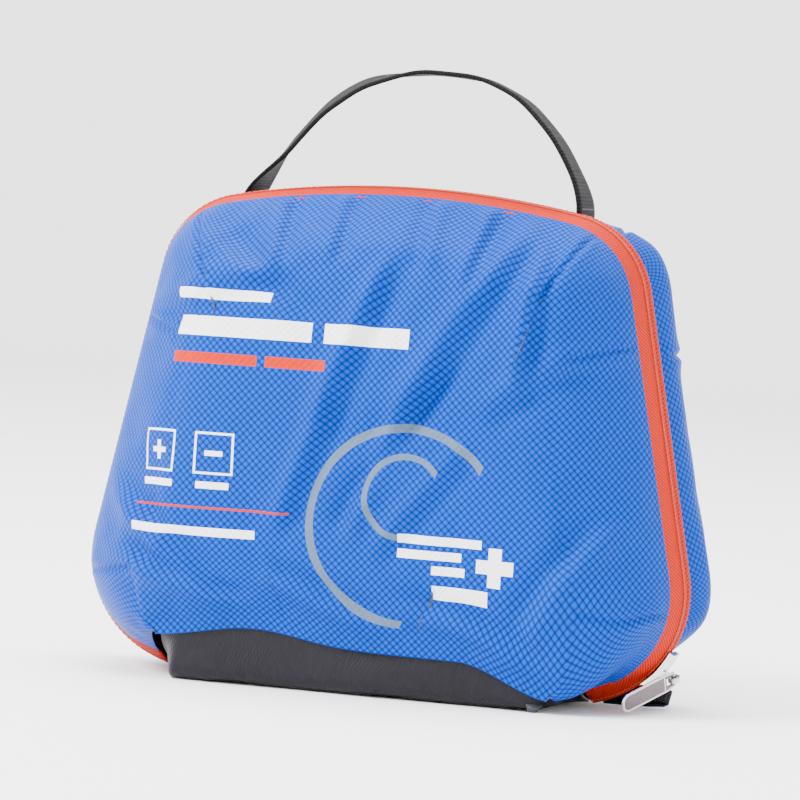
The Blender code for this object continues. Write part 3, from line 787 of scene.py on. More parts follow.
@dataclass(frozen=True)
class Outline:
    """The zipper's outline in the plane Y = 0: two round corners a side and an arched top."""

    low_x: float = 0.069
    low_z: float = 0.040
    low_radius: float = 0.040
    high_x: float = 0.057
    high_radius: float = 0.032
    top_radius: float = 0.330
    top_height: float = 0.176
    end_angle: float = -77.0
    split_z: float = 0.016

    @property
    def high_z(self) -> float:
        """Height of the top corner's centre."""
        inner = self.top_radius - self.high_radius
        return self.top_height - self.top_radius + math.sqrt(inner**2 - self.high_x**2)

    def taper(self) -> float:
        """The angle in degrees by which each side leans in."""
        across, up = self.low_x - self.high_x, self.low_z - self.high_z
        reach = math.hypot(across, up)
        return math.degrees(math.acos((self.high_radius - self.low_radius) / reach) - math.atan2(-up, across))

    def stations(self, spacing: float = 0.002, start: float | None = None) -> np.ndarray:
        """Rows of (x, z, normal x, normal z) from the right end, over the top, to the left end.

        Args:
            spacing: Distance between rows.
            start: Angle in degrees on the lower corner where it begins, the zipper's end if None.

        Returns:
            The rows.
        """
        taper = self.taper()
        lean = 90 - math.degrees(math.asin(self.high_x / (self.top_radius - self.high_radius)))
        low = self._arc(self.low_x, self.low_z, self.low_radius, (start or self.end_angle, taper), spacing)
        high = self._arc(self.high_x, self.high_z, self.high_radius, (taper, lean), spacing)
        run = high[0] - low[-1]
        share = np.linspace(0, 1, math.ceil(math.hypot(run[0], run[1]) / spacing) + 1)[1:-1, None]
        top = self._arc(0.0, self.top_height - self.top_radius, self.top_radius, (lean, 90.0), spacing)
        right = np.concatenate([low, low[-1] + run * share, high, top[1:]])
        return np.concatenate([right, right[-2::-1] * (-1, 1, -1, 1)])

    @staticmethod
    def _arc(x: float, z: float, radius: float, angles: tuple[float, float], spacing: float) -> np.ndarray:
        """Rows along an arc between two angles in degrees."""
        sweep = math.radians(abs(angles[1] - angles[0]))
        turn = np.radians(np.linspace(*angles, max(2, math.ceil(sweep * radius / spacing)) + 1))
        nx, nz = np.cos(turn), np.sin(turn)
        return np.stack([x + radius * nx, z + radius * nz, nx, nz], 1)

    def seam_z(self, share: float) -> float:
        """Height of the base seam, from 0 at the zipper's end to 1 at the rim."""
        low = self.low_z + self.low_radius * math.sin(math.radians(self.end_angle))
        return low + (self.split_z - low) * min(1.0, share)

    def wall(self, stations: np.ndarray, depth: float, inset: np.ndarray | float, share: float) -> np.ndarray:
        """A row of the wall.

        Args:
            stations: The outline's stations.
            depth: Its Y.
            inset: How far inside the outline it is.
            share: Its depth as a share of the shell's.

        Returns:
            One point for each station.
        """
        x, z, nx, nz = stations.T
        down = (self.low_z - self.seam_z(share)) / -math.sin(math.radians(self.end_angle))
        height = np.where(nz >= 0, z - inset * nz, self.low_z + down * nz)
        return np.stack([x - inset * nx, np.full_like(x, depth), height], 1)


OUTLINE = Outline()


def seam_shift(points: np.ndarray) -> np.ndarray:
    """How far cloth near the front base seam has crept up on the left and sagged on the right."""
    x, y, z = points[..., 0], points[..., 1], points[..., 2]
    creep = 0.0050 * np.exp(-(((x + 0.036) / 0.024) ** 2)) - 0.0104 * smooth((x - 0.038) / 0.035)
    near = smooth((-y - 0.018) / 0.018) * (1 - smooth((z - OUTLINE.split_z) / 0.034)) * smooth(z / 0.012)
    return creep * near


# ------------------------------------------------------------------ cloth


@dataclass(frozen=True)
class Fold:
    """A soft crease in cloth: a ridge on one side of a line and a hollow on the other.

    Attributes:
        start: One end, (x, z).
        end: The other end.
        width: Distance from the line to the ridge's top.
        height: Height of the ridge, and depth of the hollow.
    """

    start: tuple[float, float]
    end: tuple[float, float]
    width: float
    height: float

    def _place(self, x: np.ndarray, z: np.ndarray) -> tuple[np.ndarray, np.ndarray]:
        """Each point's share along the line and its distance across it, in widths."""
        run = np.array(self.end) - np.array(self.start)
        length = float(np.hypot(*run))
        dx, dz = x - self.start[0], z - self.start[1]
        along = (dx * run[0] + dz * run[1]) / length**2
        return along, (dx * run[1] - dz * run[0]) / length / self.width

    def offset(self, x: np.ndarray, z: np.ndarray) -> np.ndarray:
        """How far it moves the cloth outward at each (x, z)."""
        along, across = self._place(x, z)
        ends = smooth((along + 0.12) / 0.3) * smooth((1.12 - along) / 0.3)
        return self.height * 1.65 * across * np.exp(0.5 - across**2) * ends


@dataclass(frozen=True)
class Dart(Fold):
    """A dart: a sewn line that draws the cloth in, with a soft swell on each side."""

    def offset(self, x: np.ndarray, z: np.ndarray) -> np.ndarray:
        """How far it moves the cloth outward at each (x, z)."""
        along, across = self._place(x, z)
        ends = smooth((along + 0.05) / 0.1) * smooth((1.05 - along) / 0.1)
        swell = 0.55 * np.exp(-((across / 4.0) ** 2))
        return self.height * (swell - np.exp(-(across**2))) * ends


def dart_pairs(*lines: tuple[float, float, float, float], height: float = 0.0016) -> tuple[Dart, ...]:
    """Darts from (x, z) to (x, z), each with its twin on the left."""
    return tuple(
        Dart((side * x0, z0), (side * x1, z1), 0.0011, height)
        for x0, z0, x1, z1 in lines
        for side in (1, -1)
    )


@dataclass(frozen=True)
class ClothSettings:
    """How a shell's cloth is blown out and slackened.

    Attributes:
        pressure: Air pressure inside.
        slack: Share by which the cloth is longer than its frame.
        most_out: The most that a point may move outward.
        most_in: The most that a point may move inward.
        most_aside: The most that a point may slide along the cloth.
        frames: Steps of the simulation.
    """

    pressure: float = 1.6
    slack: float = 0.012
    most_out: float = 0.0042
    most_in: float = 0.0020
    most_aside: float = 0.0007
    frames: int = 20

    def blow(self, obj: bpy.types.Object, held: np.ndarray) -> None:
        """Simulates the cloth and keeps the result in its mesh.

        Args:
            obj: The cloth.
            held: Which of its points stay where they are.
        """
        group = obj.vertex_groups.new(name="held")
        group.add(np.flatnonzero(held).tolist(), 1.0, "REPLACE")
        cloth = obj.modifiers.new("cloth", "CLOTH")
        settings = cloth.settings
        settings.vertex_group_mass = "held"
        settings.use_pressure, settings.uniform_pressure_force = True, self.pressure
        settings.shrink_min, settings.quality, settings.mass = -self.slack, 5, 0.2
        settings.tension_stiffness = settings.compression_stiffness = 30
        settings.bending_stiffness = 0.4
        settings.effector_weights.gravity = 0
        cloth.point_cache.frame_start, cloth.point_cache.frame_end = 1, self.frames
        scene = bpy.context.scene
        for step in range(1, self.frames + 1):
            scene.frame_set(step)
        graph = bpy.context.evaluated_depsgraph_get()
        rest, normals = vectors_of(obj.data), vectors_of(obj.data, "normal")
        now = vectors_of(obj.evaluated_get(graph).data)
        out = np.einsum("ij,ij->i", now - rest, normals)
        aside = now - rest - normals * out[:, None]
        room = np.where(out > 0, self.most_out, self.most_in)
        out = room * np.tanh(out / room)
        slid = np.maximum(np.linalg.norm(aside, axis=1, keepdims=True), 1e-9)
        aside *= np.minimum(1.0, self.most_aside / slid)
        obj.modifiers.remove(cloth)
        scene.frame_set(1)
        move_points(obj, rest + normals * out[:, None] + aside)


@dataclass(frozen=True)
class Shell:
    """One half of the pouch: a side wall and a big panel in one continuous cloth.

    Attributes:
        name: The piece's name.
        depth: Y of its rim.
        start: Depth of its zipper edge, from the zipper's plane.
        inset: How far the rim is inside the outline.
        crown: How far the panel bulges.
        power: How square the side wall's section is: 2 is an ellipse.
        belly: How far the wall swells past the outline at mid depth.
        groove: How far the wall is drawn in beside the zipper's tape.
        folds: Its creases and darts.
        cloth: How its cloth is simulated.
        hem_z: Height of its bottom edge, which covers the base's lip.
    """

    name: str
    depth: float
    start: float
    inset: float
    crown: float
    power: float
    belly: float
    groove: float
    folds: tuple[Fold, ...]
    cloth: ClothSettings
    hem_z: float = 0.0148

    def inset_at(self, share: float, stations: np.ndarray) -> np.ndarray:
        """Inset of the wall at a share of the depth, for each station. Only the sides swell, not the top."""
        depth = abs(self.depth) * share
        round_in = 1 - max(0.0, 1 - share**self.power) ** (1 / self.power)
        hollow = smooth((depth - 0.003) / 0.005) * (1 - smooth((depth - 0.008) / 0.008))
        swell = math.sin(math.pi * share) * smooth((depth - 0.007) / 0.008)
        sides = smooth((np.abs(stations[:, 2]) - 0.45) / 0.4) * smooth((stations[:, 3] + 0.75) / 0.5)
        return self.inset * round_in + self.groove * hollow - self.belly * swell * sides

    def grid(self, spacing: float) -> tuple[np.ndarray, np.ndarray]:
        """Points and cloth coordinates from the zipper edge, over the rim, to the base seam."""
        stations = OUTLINE.stations(spacing)
        first = math.asin((self.start / abs(self.depth)) ** (self.power / 2))
        turns = np.linspace(first, math.pi / 2, 10)
        shares = np.sin(turns) ** (2 / self.power)
        rows = [OUTLINE.wall(stations, self.depth * s, self.inset_at(s, stations), s) for s in shares]
        rim = rows[-1]
        run = run_along(rim)
        seam = np.stack([rim[0, 0] * (1 - 2 * run / run[-1]), rim[:, 1], np.full(len(run), self.hem_z)], 1)
        for share in np.linspace(0, 1, round(0.13 / spacing))[1:]:
            row = rim + (seam - rim) * share
            bulge = math.sin(math.pi * share**0.85) ** 0.6 if share < 1 else 0.0
            row[:, 1] += math.copysign(self.crown, self.depth) * bulge * smooth((row[:, 2] - 0.016) / 0.02)
            rows.append(row)
        grid = np.array(rows)
        uv = grid[..., (0, 2)].copy()
        walls = len(shares)
        steps = np.linalg.norm(np.diff(grid[:walls], axis=0), axis=2)
        reach = np.cumsum(steps[::-1], axis=0)[::-1]
        uv[: walls - 1] = rim[None, :, (0, 2)] + stations[None, :, 2:] * reach[..., None]
        return grid, uv

    def build(self, outside: bpy.types.Material, inside: bpy.types.Material) -> bpy.types.Object:
        """Lofts the cloth, simulates it, adds its folds and darts and gives it a thickness."""
        grid, uv = self.grid(0.0044)
        obj = grid_piece(self.name, grid, outside, uv, flip=self.depth > 0)
        rows, columns = grid.shape[:2]
        held = np.zeros((rows, columns), bool)
        held[:2], held[-1], held[:, :2], held[:, -2:] = True, True, True, True
        self.cloth.blow(obj, held.ravel())
        refine(obj, 2)
        self._crease(obj, [fold for fold in self.folds if not isinstance(fold, Dart)])
        relax = obj.modifiers.new("relaxed", "SMOOTH")
        relax.factor, relax.iterations = 0.5, 7
        settle(obj)
        self._crease(obj, [fold for fold in self.folds if isinstance(fold, Dart)])
        if self.depth < 0:
            self._hang(obj)
        return thicken(obj, 0.0002, lining=inside)

    def _crease(self, obj: bpy.types.Object, folds: Sequence[Fold]) -> None:
        """Moves the fine cloth along its normals by folds or darts."""
        points, normals = vectors_of(obj.data), vectors_of(obj.data, "normal")
        x, y, z = points.T
        free = smooth((np.abs(y) - self.start - 0.0005) / 0.006) * smooth((z - 0.018) / 0.01)
        out = sum((fold.offset(x, z) for fold in folds), np.zeros_like(x)) * free
        move_points(obj, points + normals * out[:, None])

    @staticmethod
    def _hang(obj: bpy.types.Object) -> None:
        """Lets the cloth creep up and sag along the front base seam."""
        points = vectors_of(obj.data)
        points[:, 2] += seam_shift(points)
        move_points(obj, points)


FRONT_SHELL = Shell(
    name="front_panel",
    depth=-0.038,
    start=0.0122,
    inset=0.030,
    crown=0.0032,
    power=1.65,
    belly=0.0,
    groove=0.0,
    folds=(
        Fold((0.008, 0.150), (-0.013, 0.094), 0.0052, 0.0024),
        Fold((-0.010, 0.100), (-0.026, 0.056), 0.0045, 0.0019),
        Fold((0.054, 0.160), (0.013, 0.095), 0.0060, 0.0022),
        Fold((0.030, 0.118), (0.001, 0.074), 0.0042, 0.0018),
        Fold((0.013, 0.098), (-0.004, 0.056), 0.0045, -0.0019),
        Fold((0.060, 0.158), (0.056, 0.108), 0.0045, 0.0021),
        Fold((0.040, 0.088), (0.010, 0.050), 0.0046, 0.0014),
        Fold((-0.062, 0.158), (-0.020, 0.126), 0.0060, 0.0016),
        Fold((-0.080, 0.128), (-0.030, 0.144), 0.0052, -0.0015),
        Fold((-0.090, 0.066), (-0.050, 0.034), 0.0050, 0.0018),
        Fold((-0.084, 0.044), (-0.040, 0.026), 0.0042, 0.0018),
        Fold((-0.030, 0.040), (0.010, 0.026), 0.0046, 0.0016),
        Fold((0.018, 0.034), (0.066, 0.024), 0.0046, 0.0016),
        Fold((0.086, 0.066), (0.060, 0.030), 0.0052, -0.0018),
        Fold((0.074, 0.120), (0.044, 0.100), 0.0052, 0.0014),
        Fold((-0.038, 0.172), (-0.034, 0.146), 0.0034, 0.0012),
        Fold((-0.016, 0.174), (-0.014, 0.150), 0.0034, 0.0012),
        Fold((0.014, 0.174), (0.018, 0.148), 0.0036, -0.0012),
        Fold((0.038, 0.172), (0.034, 0.142), 0.0036, 0.0014),
        *dart_pairs(
            (0.074, 0.168, 0.060, 0.141), (0.098, 0.128, 0.071, 0.121), (0.112, 0.034, 0.080, 0.038)
        ),
    ),
    cloth=ClothSettings(),
)

REAR_SHELL = Shell(
    name="rear_panel",
    depth=0.034,
    start=0.0062,
    inset=0.024,
    crown=0.0022,
    power=2.9,
    belly=0.0058,
    groove=0.0030,
    folds=(
        Fold((-0.056, 0.150), (-0.020, 0.096), 0.0056, 0.0018),
        Fold((0.050, 0.140), (0.020, 0.070), 0.0056, -0.0018),
        Fold((0.080, 0.070), (0.030, 0.030), 0.0052, 0.0017),
        Fold((-0.084, 0.060), (-0.034, 0.032), 0.0052, 0.0017),
        Fold((-0.010, 0.110), (0.018, 0.052), 0.0052, 0.0014),
        Fold((0.020, 0.168), (0.012, 0.136), 0.0042, 0.0013),
        *dart_pairs((0.076, 0.168, 0.062, 0.143)),
        *dart_pairs((0.104, 0.124, 0.074, 0.121), height=0.0018),
    ),
    cloth=ClothSettings(most_out=0.0034),
)

WHITE_INK, ORANGE_INK, GREY_INK = "#f4f4f4", "#b82804", "#56677c"

FRONT_PRINTS = (
    Print(PrintShape.BAR, (-0.0520, 0.1345), (0.0360, 0.0036), WHITE_INK),
    Print(PrintShape.BAR, (-0.0445, 0.1235), (0.0520, 0.0068), WHITE_INK),
    Print(PrintShape.BAR, (0.0010, 0.1235), (0.0300, 0.0068), WHITE_INK),
    Print(PrintShape.BAR, (-0.0540, 0.1125), (0.0330, 0.0038), ORANGE_INK),
    Print(PrintShape.BAR, (-0.0235, 0.1125), (0.0220, 0.0038), ORANGE_INK),
    Print(PrintShape.FRAME, (-0.0735, 0.0800), (0.0145, 0.0145), WHITE_INK, 0.0008),
    Print(PrintShape.BAR, (-0.0735, 0.0800), (0.0066, 0.0018), WHITE_INK),
    Print(PrintShape.BAR, (-0.0735, 0.0800), (0.0018, 0.0066), WHITE_INK),
    Print(PrintShape.FRAME, (-0.0510, 0.0800), (0.0145, 0.0145), WHITE_INK, 0.0008),
    Print(PrintShape.BAR, (-0.0510, 0.0800), (0.0066, 0.0018), WHITE_INK),
    Print(PrintShape.BAR, (-0.0735, 0.0690), (0.0150, 0.0024), WHITE_INK),
    Print(PrintShape.BAR, (-0.0510, 0.0690), (0.0120, 0.0024), WHITE_INK),
    Print(PrintShape.BAR, (-0.0530, 0.0612), (0.0600, 0.0008), ORANGE_INK),
    Print(PrintShape.BAR, (-0.0580, 0.0530), (0.0460, 0.0030), WHITE_INK),
    Print(PrintShape.RING, (0.0180, 0.0600), (0.0700, 0.0700), GREY_INK, 0.0030),
    Print(PrintShape.RING, (0.0180, 0.0700), (0.0300, 0.0300), GREY_INK, 0.0022),
    Print(PrintShape.BAR, (0.0310, 0.0562), (0.0300, 0.0030), WHITE_INK),
    Print(PrintShape.BAR, (0.0275, 0.0512), (0.0230, 0.0030), WHITE_INK),
    Print(PrintShape.BAR, (0.0345, 0.0462), (0.0120, 0.0030), WHITE_INK),
    Print(PrintShape.BAR, (0.0510, 0.0490), (0.0130, 0.0046), WHITE_INK),
    Print(PrintShape.BAR, (0.0510, 0.0490), (0.0046, 0.0130), WHITE_INK),
    Print(PrintShape.BAR, (0.0390, 0.0385), (0.0200, 0.0050), WHITE_INK),
)


@dataclass
class Pouch:
    """Both shells and the base of the pouch."""

    cloth: bpy.types.Material = field(init=False)
    lining: bpy.types.Material = field(init=False)

    def __post_init__(self) -> None:
        """Makes the cloths."""
        self.cloth = JacquardNylon("nylon_blue").build()
        self.lining = CoatedPackcloth("lining_grey", "#43454c", "#303238", 0.5).build()

    def build(self) -> list[bpy.types.Object]:
        """Builds the shells and the base."""
        printed_cloth = JacquardNylon("nylon_blue_printed", prints=FRONT_PRINTS).build()
        front = FRONT_SHELL.build(printed_cloth, self.lining)
        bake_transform(front)
        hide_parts("front_shell", "front_corner_left", "front_corner_right")
        rear = stand(REAR_SHELL.build(self.cloth, self.lining), "rear_shell")
        return [front, rear, self._base(), *self._bindings()]

    def _base(self) -> bpy.types.Object:
        """The base: a tray of coated cloth whose lips stand up front and back."""
        y_front, y_rear, bend, lip, flat = -0.0370, 0.0334, 0.0055, 0.0178, 0.88
        arc = np.linspace(0, math.pi / 2, 7)
        front = [(y_front, z) for z in (lip, 0.0140, 0.0105, 0.0080)]
        front += [(y_front + bend * (1 - math.cos(a)), bend * (1 - math.sin(a))) for a in arc]
        rear = [(y_front + y_rear - y, z) for y, z in reversed(front)]
        middle = [(y, 0.0) for y in np.linspace(-0.028, 0.024, 9)]
        profile = np.array([*front, *middle, *rear])
        along = np.concatenate([np.linspace(-1, -flat, 9)[:-1], np.linspace(-flat, flat, 33)])
        along = np.concatenate([along, np.linspace(flat, 1, 9)[1:]])
        rows = []
        for i, (y, z) in enumerate(profile):
            end_y = y_front + (y_rear - y_front) * i / (len(profile) - 1)
            share = abs(end_y) / 0.038
            inset = 0.030 * share**2
            end_x = OUTLINE.low_x - 0.0022
            end_x += (OUTLINE.low_radius - inset) * math.cos(math.radians(OUTLINE.end_angle))
            lift = smooth((np.abs(along) - flat) / (1 - flat))
            dent = 0.0008 * np.sin(along * 9) * math.sin(math.pi * i / (len(profile) - 1))
            up = OUTLINE.seam_z(share) - z
            height = z + up * lift + np.maximum(0.0, dent) * (1 - lift)
            rows.append(np.stack([along * end_x, y + (end_y - y) * lift, height], 1))
        grid = np.array(rows)
        grid[..., 2] += seam_shift(grid)
        # The front lip leans out below its seam and hangs in shallow waves
        hang = smooth((-grid[..., 1] - 0.030) / 0.006) * smooth((0.0145 - grid[..., 2]) / 0.006)
        hang *= 1 - smooth((grid[..., 0] - 0.028) / 0.02)
        grid[..., 1] -= (0.0011 + 0.0006 * np.sin(grid[..., 0] * 130 + 0.8)) * hang
        uv = np.stack([grid[..., 0], np.repeat(run_along(profile)[:, None], len(along), 1)], -1)
        coat = CoatedPackcloth("base_charcoal", "#17141d", "#09080c").build()
        base = grid_piece("base_tray", grid, coat, uv, flip=True)
        refine(base, 1)
        thicken(base, 0.0012, lining=self.lining)
        return stand(base, "base_panel")

    def _bindings(self) -> list[bpy.types.Object]:
        """Grosgrain bindings over the seams inside."""
        grosgrain = RibbedCloth("binding_black", "#1d1c20", "#070609", 0.0012).build()
        stations = OUTLINE.stations(0.003, start=-20.0)
        made = []
        sides = (
            ("front_binding_tape", FRONT_SHELL, -0.0112, -0.0170, "front", "front_binding"),
            ("rear_binding_tape", REAR_SHELL, 0.0076, 0.0140, "case", "rear_binding"),
        )
        for name, shell, near, far, body, node in sides:
            rows = []
            for depth in np.linspace(near, far, 5):
                share = depth / shell.depth
                inset = shell.inset_at(share, stations) + 0.0036
                rows.append(OUTLINE.wall(stations, depth, inset, share))
            grid = np.array(rows)
            uv = np.stack([np.broadcast_to(run_along(grid[0]), grid.shape[:2]), grid[..., 1]], -1)
            tape = grid_piece(name, grid, grosgrain, uv, flip=shell.depth > 0)
            made.append(stand(thicken(tape, 0.0006, offset=1.0), node, body))
        return made


# ------------------------------------------------------------------ zipper


@dataclass
class Zipper:
    """Both tapes, their coils, the slider and the pull."""

    slit: float = 0.0005
    front_edge: float = 0.0148
    rear_edge: float = 0.0074
    coil_pitch: float = 0.0014
    pivot_radius: float = 0.0462
    slider_angle: float = -37.0
    pull_axis: Vector = field(default_factory=lambda: Vector((-0.031, -0.378, 0.925)).normalized())
    pull_heading: Vector = field(default_factory=lambda: Vector((-0.498, -0.797, -0.342)))
    pull_length: float = 0.0250
    pull_width: float = 0.0072

    def __post_init__(self) -> None:
        """Makes the finishes."""
        self.twill = RibbedCloth("tape_orange", "#c02000", "#720c00", 0.0011, 35.0).build()
        self.thread = MouldedPlastic("thread_orange", "#b83608", 0.5).build()
        self.coil = MouldedPlastic("coil_orange", "#801800", 0.35).build()
        self.plating = Metal("nickel_plate", "#cfcdd2").build()
        # The pull's sunken plate is nickel painted darker: painted shade in its recess
        self.painted_shade_plating = Metal("nickel_painted_shade", "#6d6467", 0.3).build()

    def build(self) -> list[bpy.types.Object]:
        """Builds every piece of the zipper."""
        made = []
        front_nodes = ("front_tape", "front_tape_end_left", "front_tape_end_right")
        sides = ((-1, FRONT_SHELL, front_nodes, "front_coil"), (1, REAR_SHELL, ("rear_tape",), "rear_coil"))
        for side, shell, tape_nodes, coil_node in sides:
            tape, coil, seam = self._tape(side, shell), self._coil(side), self._seam(side, shell)
            for piece in (tape, coil, seam):
                self._ride(piece, side)
            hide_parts(*tape_nodes)
            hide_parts(coil_node)
            made += [tape, coil, seam]
        self._finish_slider()
        return [*made, self._pull(), self._end_tab()]

    @staticmethod
    def _ride(piece: bpy.types.Object, side: int) -> None:
        """Bakes a front piece's place into its mesh, and moves a rear one with the case."""
        if side < 0:
            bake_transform(piece)
        else:
            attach(piece, "case")

    def _row(self, shell: Shell, stations: np.ndarray, depth: float, sunk: float) -> np.ndarray:
        """A line along the zipper, sunk below the wall's surface."""
        share = abs(depth / shell.depth)
        return OUTLINE.wall(stations, depth, shell.inset_at(share, stations) + sunk, share)

    def _tape(self, side: int, shell: Shell) -> bpy.types.Object:
        """One half's tape, swollen over the coil beneath it."""
        stations = OUTLINE.stations(0.002)
        edge = self.front_edge if side < 0 else self.rear_edge
        depths = np.linspace(self.slit, edge, 16)
        rows = []
        for depth in depths:
            swell = 0.0004 * math.exp(-(((depth - 0.0020) / 0.0013) ** 2))
            tuck = 0.0009 * float(smooth((0.0012 - depth) / 0.0008))
            rows.append(self._row(shell, stations, side * depth, 0.0003 + tuck - swell))
        grid = np.array(rows)
        run = run_along(grid[0])
        across = np.repeat(depths[:, None], len(run), 1)
        uv = np.stack([np.broadcast_to(run, grid.shape[:2]), across], -1)
        name = "front_zipper_tape" if side < 0 else "rear_zipper_tape"
        return thicken(grid_piece(name, grid, self.twill, uv, flip=side > 0), 0.0006)

    def _coil(self, side: int) -> bpy.types.Object:
        """The row of teeth behind the tape, as one wound coil."""
        stations = OUTLINE.stations(0.002)
        outline = np.insert(stations[:, :2], 1, 0.0, axis=1)
        line = resampled(outline, self.coil_pitch / 8)
        run = run_along(outline)
        at = np.arange(len(line)) * run[-1] / (len(line) - 1)
        nx, nz = np.interp(at, run, stations[:, 2]), np.interp(at, run, stations[:, 3])
        turn = at * 2 * math.pi / self.coil_pitch
        inward = 0.0023 + 0.0008 * np.sin(turn)
        depth = side * (0.0012 + 0.0014 * np.cos(turn + (0 if side < 0 else math.pi)))
        path = np.stack([line[:, 0] - nx * inward, depth, line[:, 2] - nz * inward], 1)
        name = "front_zipper_coil" if side < 0 else "rear_zipper_coil"
        return wire(name, [path], 0.0003, self.coil, sides=5)

    def _seam(self, side: int, shell: Shell) -> bpy.types.Object:
        """The stitched line that holds the tape to the coil."""
        stations = OUTLINE.stations(0.002)
        away = np.insert(stations[:, 2:], 1, 0.0, axis=1)
        word = "front" if side < 0 else "rear"
        line = self._row(shell, stations, side * 0.0040, -0.0001)
        return stitches(f"{word}_zipper_stitches", line, away, self.thread, 0.0022)

    def _finish_slider(self) -> None:
        """The slider body keeps its CAD shape and takes the plating."""
        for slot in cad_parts["slider_body"].material_slots:
            slot.material = self.plating

    def _pull(self) -> bpy.types.Object:
        """The pull: a thin plate with a raised rim, a window at the hinge and a round boss."""
        half, tip = self.pull_width / 2, self.pull_length
        corner = 0.0026
        turn = np.radians(np.linspace(-90, 0, 7))
        right = np.stack([tip - corner + corner * np.cos(turn), -half + corner + corner * np.sin(turn)], 1)
        loop = np.concatenate([[(0.0, -half * 0.80), (0.0040, -half)], right, right[::-1] * (1, -1)])
        loop = np.concatenate([loop, [(0.0040, half), (0.0, half * 0.80)]])
        window = np.array([(0.0009, -0.0016), (0.0040, -0.0016), (0.0040, 0.0016), (0.0009, 0.0016)])
        plate = self._plate("pull_plate", [loop * (1, 0.86) + (0.0002, 0), window], 0.00034)
        outline = resampled(np.insert(np.vstack([loop, loop[:1]]), 2, 0.0, axis=1), 0.0006)[:-1]
        rim = wire("pull_rim", [outline * (1, 0.82, 1)], 0.00058, self.plating, 10, closed=True)
        angles = np.radians(np.arange(0, 360, 12))
        oval = np.stack([tip - 0.0045 + 0.0026 * np.cos(angles), 0.0014 * np.sin(angles), angles * 0], 1)
        boss = wire("pull_boss", [oval], 0.00034, self.plating, 8, closed=True)
        cross = np.array([(0.0048, y, 0.0) for y in np.linspace(-half * 0.8, half * 0.8, 7)])
        bar = wire("pull_crossbar", [cross], 0.00052, self.plating, 8)
        aside = self.pull_heading.dot(self.pull_axis) * self.pull_axis
        along = (self.pull_heading - aside).normalized()
        turned_to = Matrix((along, self.pull_axis, along.cross(self.pull_axis))).transposed().to_4x4()
        angle = math.radians(self.slider_angle)
        pivot = Vector((OUTLINE.low_x, 0.0, OUTLINE.low_z))
        pivot += self.pivot_radius * Vector((math.cos(angle), 0.0, math.sin(angle)))
        placed = Matrix.Translation(pivot) @ turned_to
        pull = joined("zipper_pull", [plate, rim, boss, bar])
        pull.data.transform(placed)
        return stand(pull, "pull_tab", "pull")

    def _plate(self, name: str, loops: Sequence[np.ndarray], half: float) -> bpy.types.Object:
        """A flat plate with holes, from its outlines."""
        curve = bpy.data.curves.new(name, "CURVE")
        curve.dimensions, curve.fill_mode, curve.extrude, curve.bevel_depth = "2D", "BOTH", half, 0.00008
        for loop in loops:
            spline = curve.splines.new("POLY")
            spline.points.add(len(loop) - 1)
            for point, (x, y) in zip(spline.points, loop, strict=True):
                point.co = (x, y, 0.0, 1.0)
            spline.use_cyclic_u = True
        curve.materials.append(self.painted_shade_plating)
        obj = bpy.data.objects.new(name, curve)
        bpy.context.scene.collection.objects.link(obj)
        bpy.context.view_layer.update()
        graph = bpy.context.evaluated_depsgraph_get()
        mesh = bpy.data.meshes.new_from_object(obj.evaluated_get(graph), depsgraph=graph)
        bpy.data.objects.remove(obj)
        made = bpy.data.objects.new(name, mesh)
        bpy.context.scene.collection.objects.link(made)
        return made

    def _end_tab(self) -> bpy.types.Object:
        """The black tab sewn over the zipper's end: webbing folded back on itself."""
        webbing = RibbedCloth("tab_black", "#1b1a1e", "#060508", 0.0011).build()
        across = np.linspace(0, 1, 8)
        path = [(0.0800, 0.0), (0.0880, 0.0), (0.0960, 0.0002), (0.1015, 0.0006), (0.1030, 0.0012)]
        path += [(0.1015, 0.0020), (0.0960, 0.0024), (0.0880, 0.0022), (0.0810, 0.0019)]
        rows = []
        for x, up in path:
            front = np.array([x, 0.0055, 0.0012 + up])
            back = np.array([x - 0.0006, 0.0130, 0.0052 + up])
            rows.append(front + (back - front) * across[:, None])
        grid = np.array(rows)
        along = np.repeat(np.array(path)[:, :1], len(across), 1)
        uv = np.stack([along, np.broadcast_to(across * 0.0085, along.shape)], -1)
        tab = thicken(grid_piece("zipper_end_tab", grid, webbing, uv), 0.0007, offset=0.0)
        return stand(tab, "zipper_tab_right")


def joined(name: str, pieces: Sequence[bpy.types.Object]) -> bpy.types.Object:
    """Joins meshes into one named piece, each with its own finish."""
    bm = bmesh.new()
    mesh = bpy.data.meshes.new(name)
    for piece in pieces:
        first = len(bm.faces)
        bm.from_mesh(piece.data)
        bm.faces.ensure_lookup_table()
        finish = piece.data.materials[0]
        if finish.name not in mesh.materials:
            mesh.materials.append(finish)
        for face in bm.faces[first:]:
            face.material_index = mesh.materials.find(finish.name)
    bm.to_mesh(mesh)
    bm.free()
    mesh.shade_smooth()
    mesh.set_sharp_from_angle(angle=math.radians(50))
    for piece in pieces:
        bpy.data.objects.remove(piece)
    obj = bpy.data.objects.new(name, mesh)
    bpy.context.scene.collection.objects.link(obj)
    return obj


# ------------------------------------------------------------------ handle


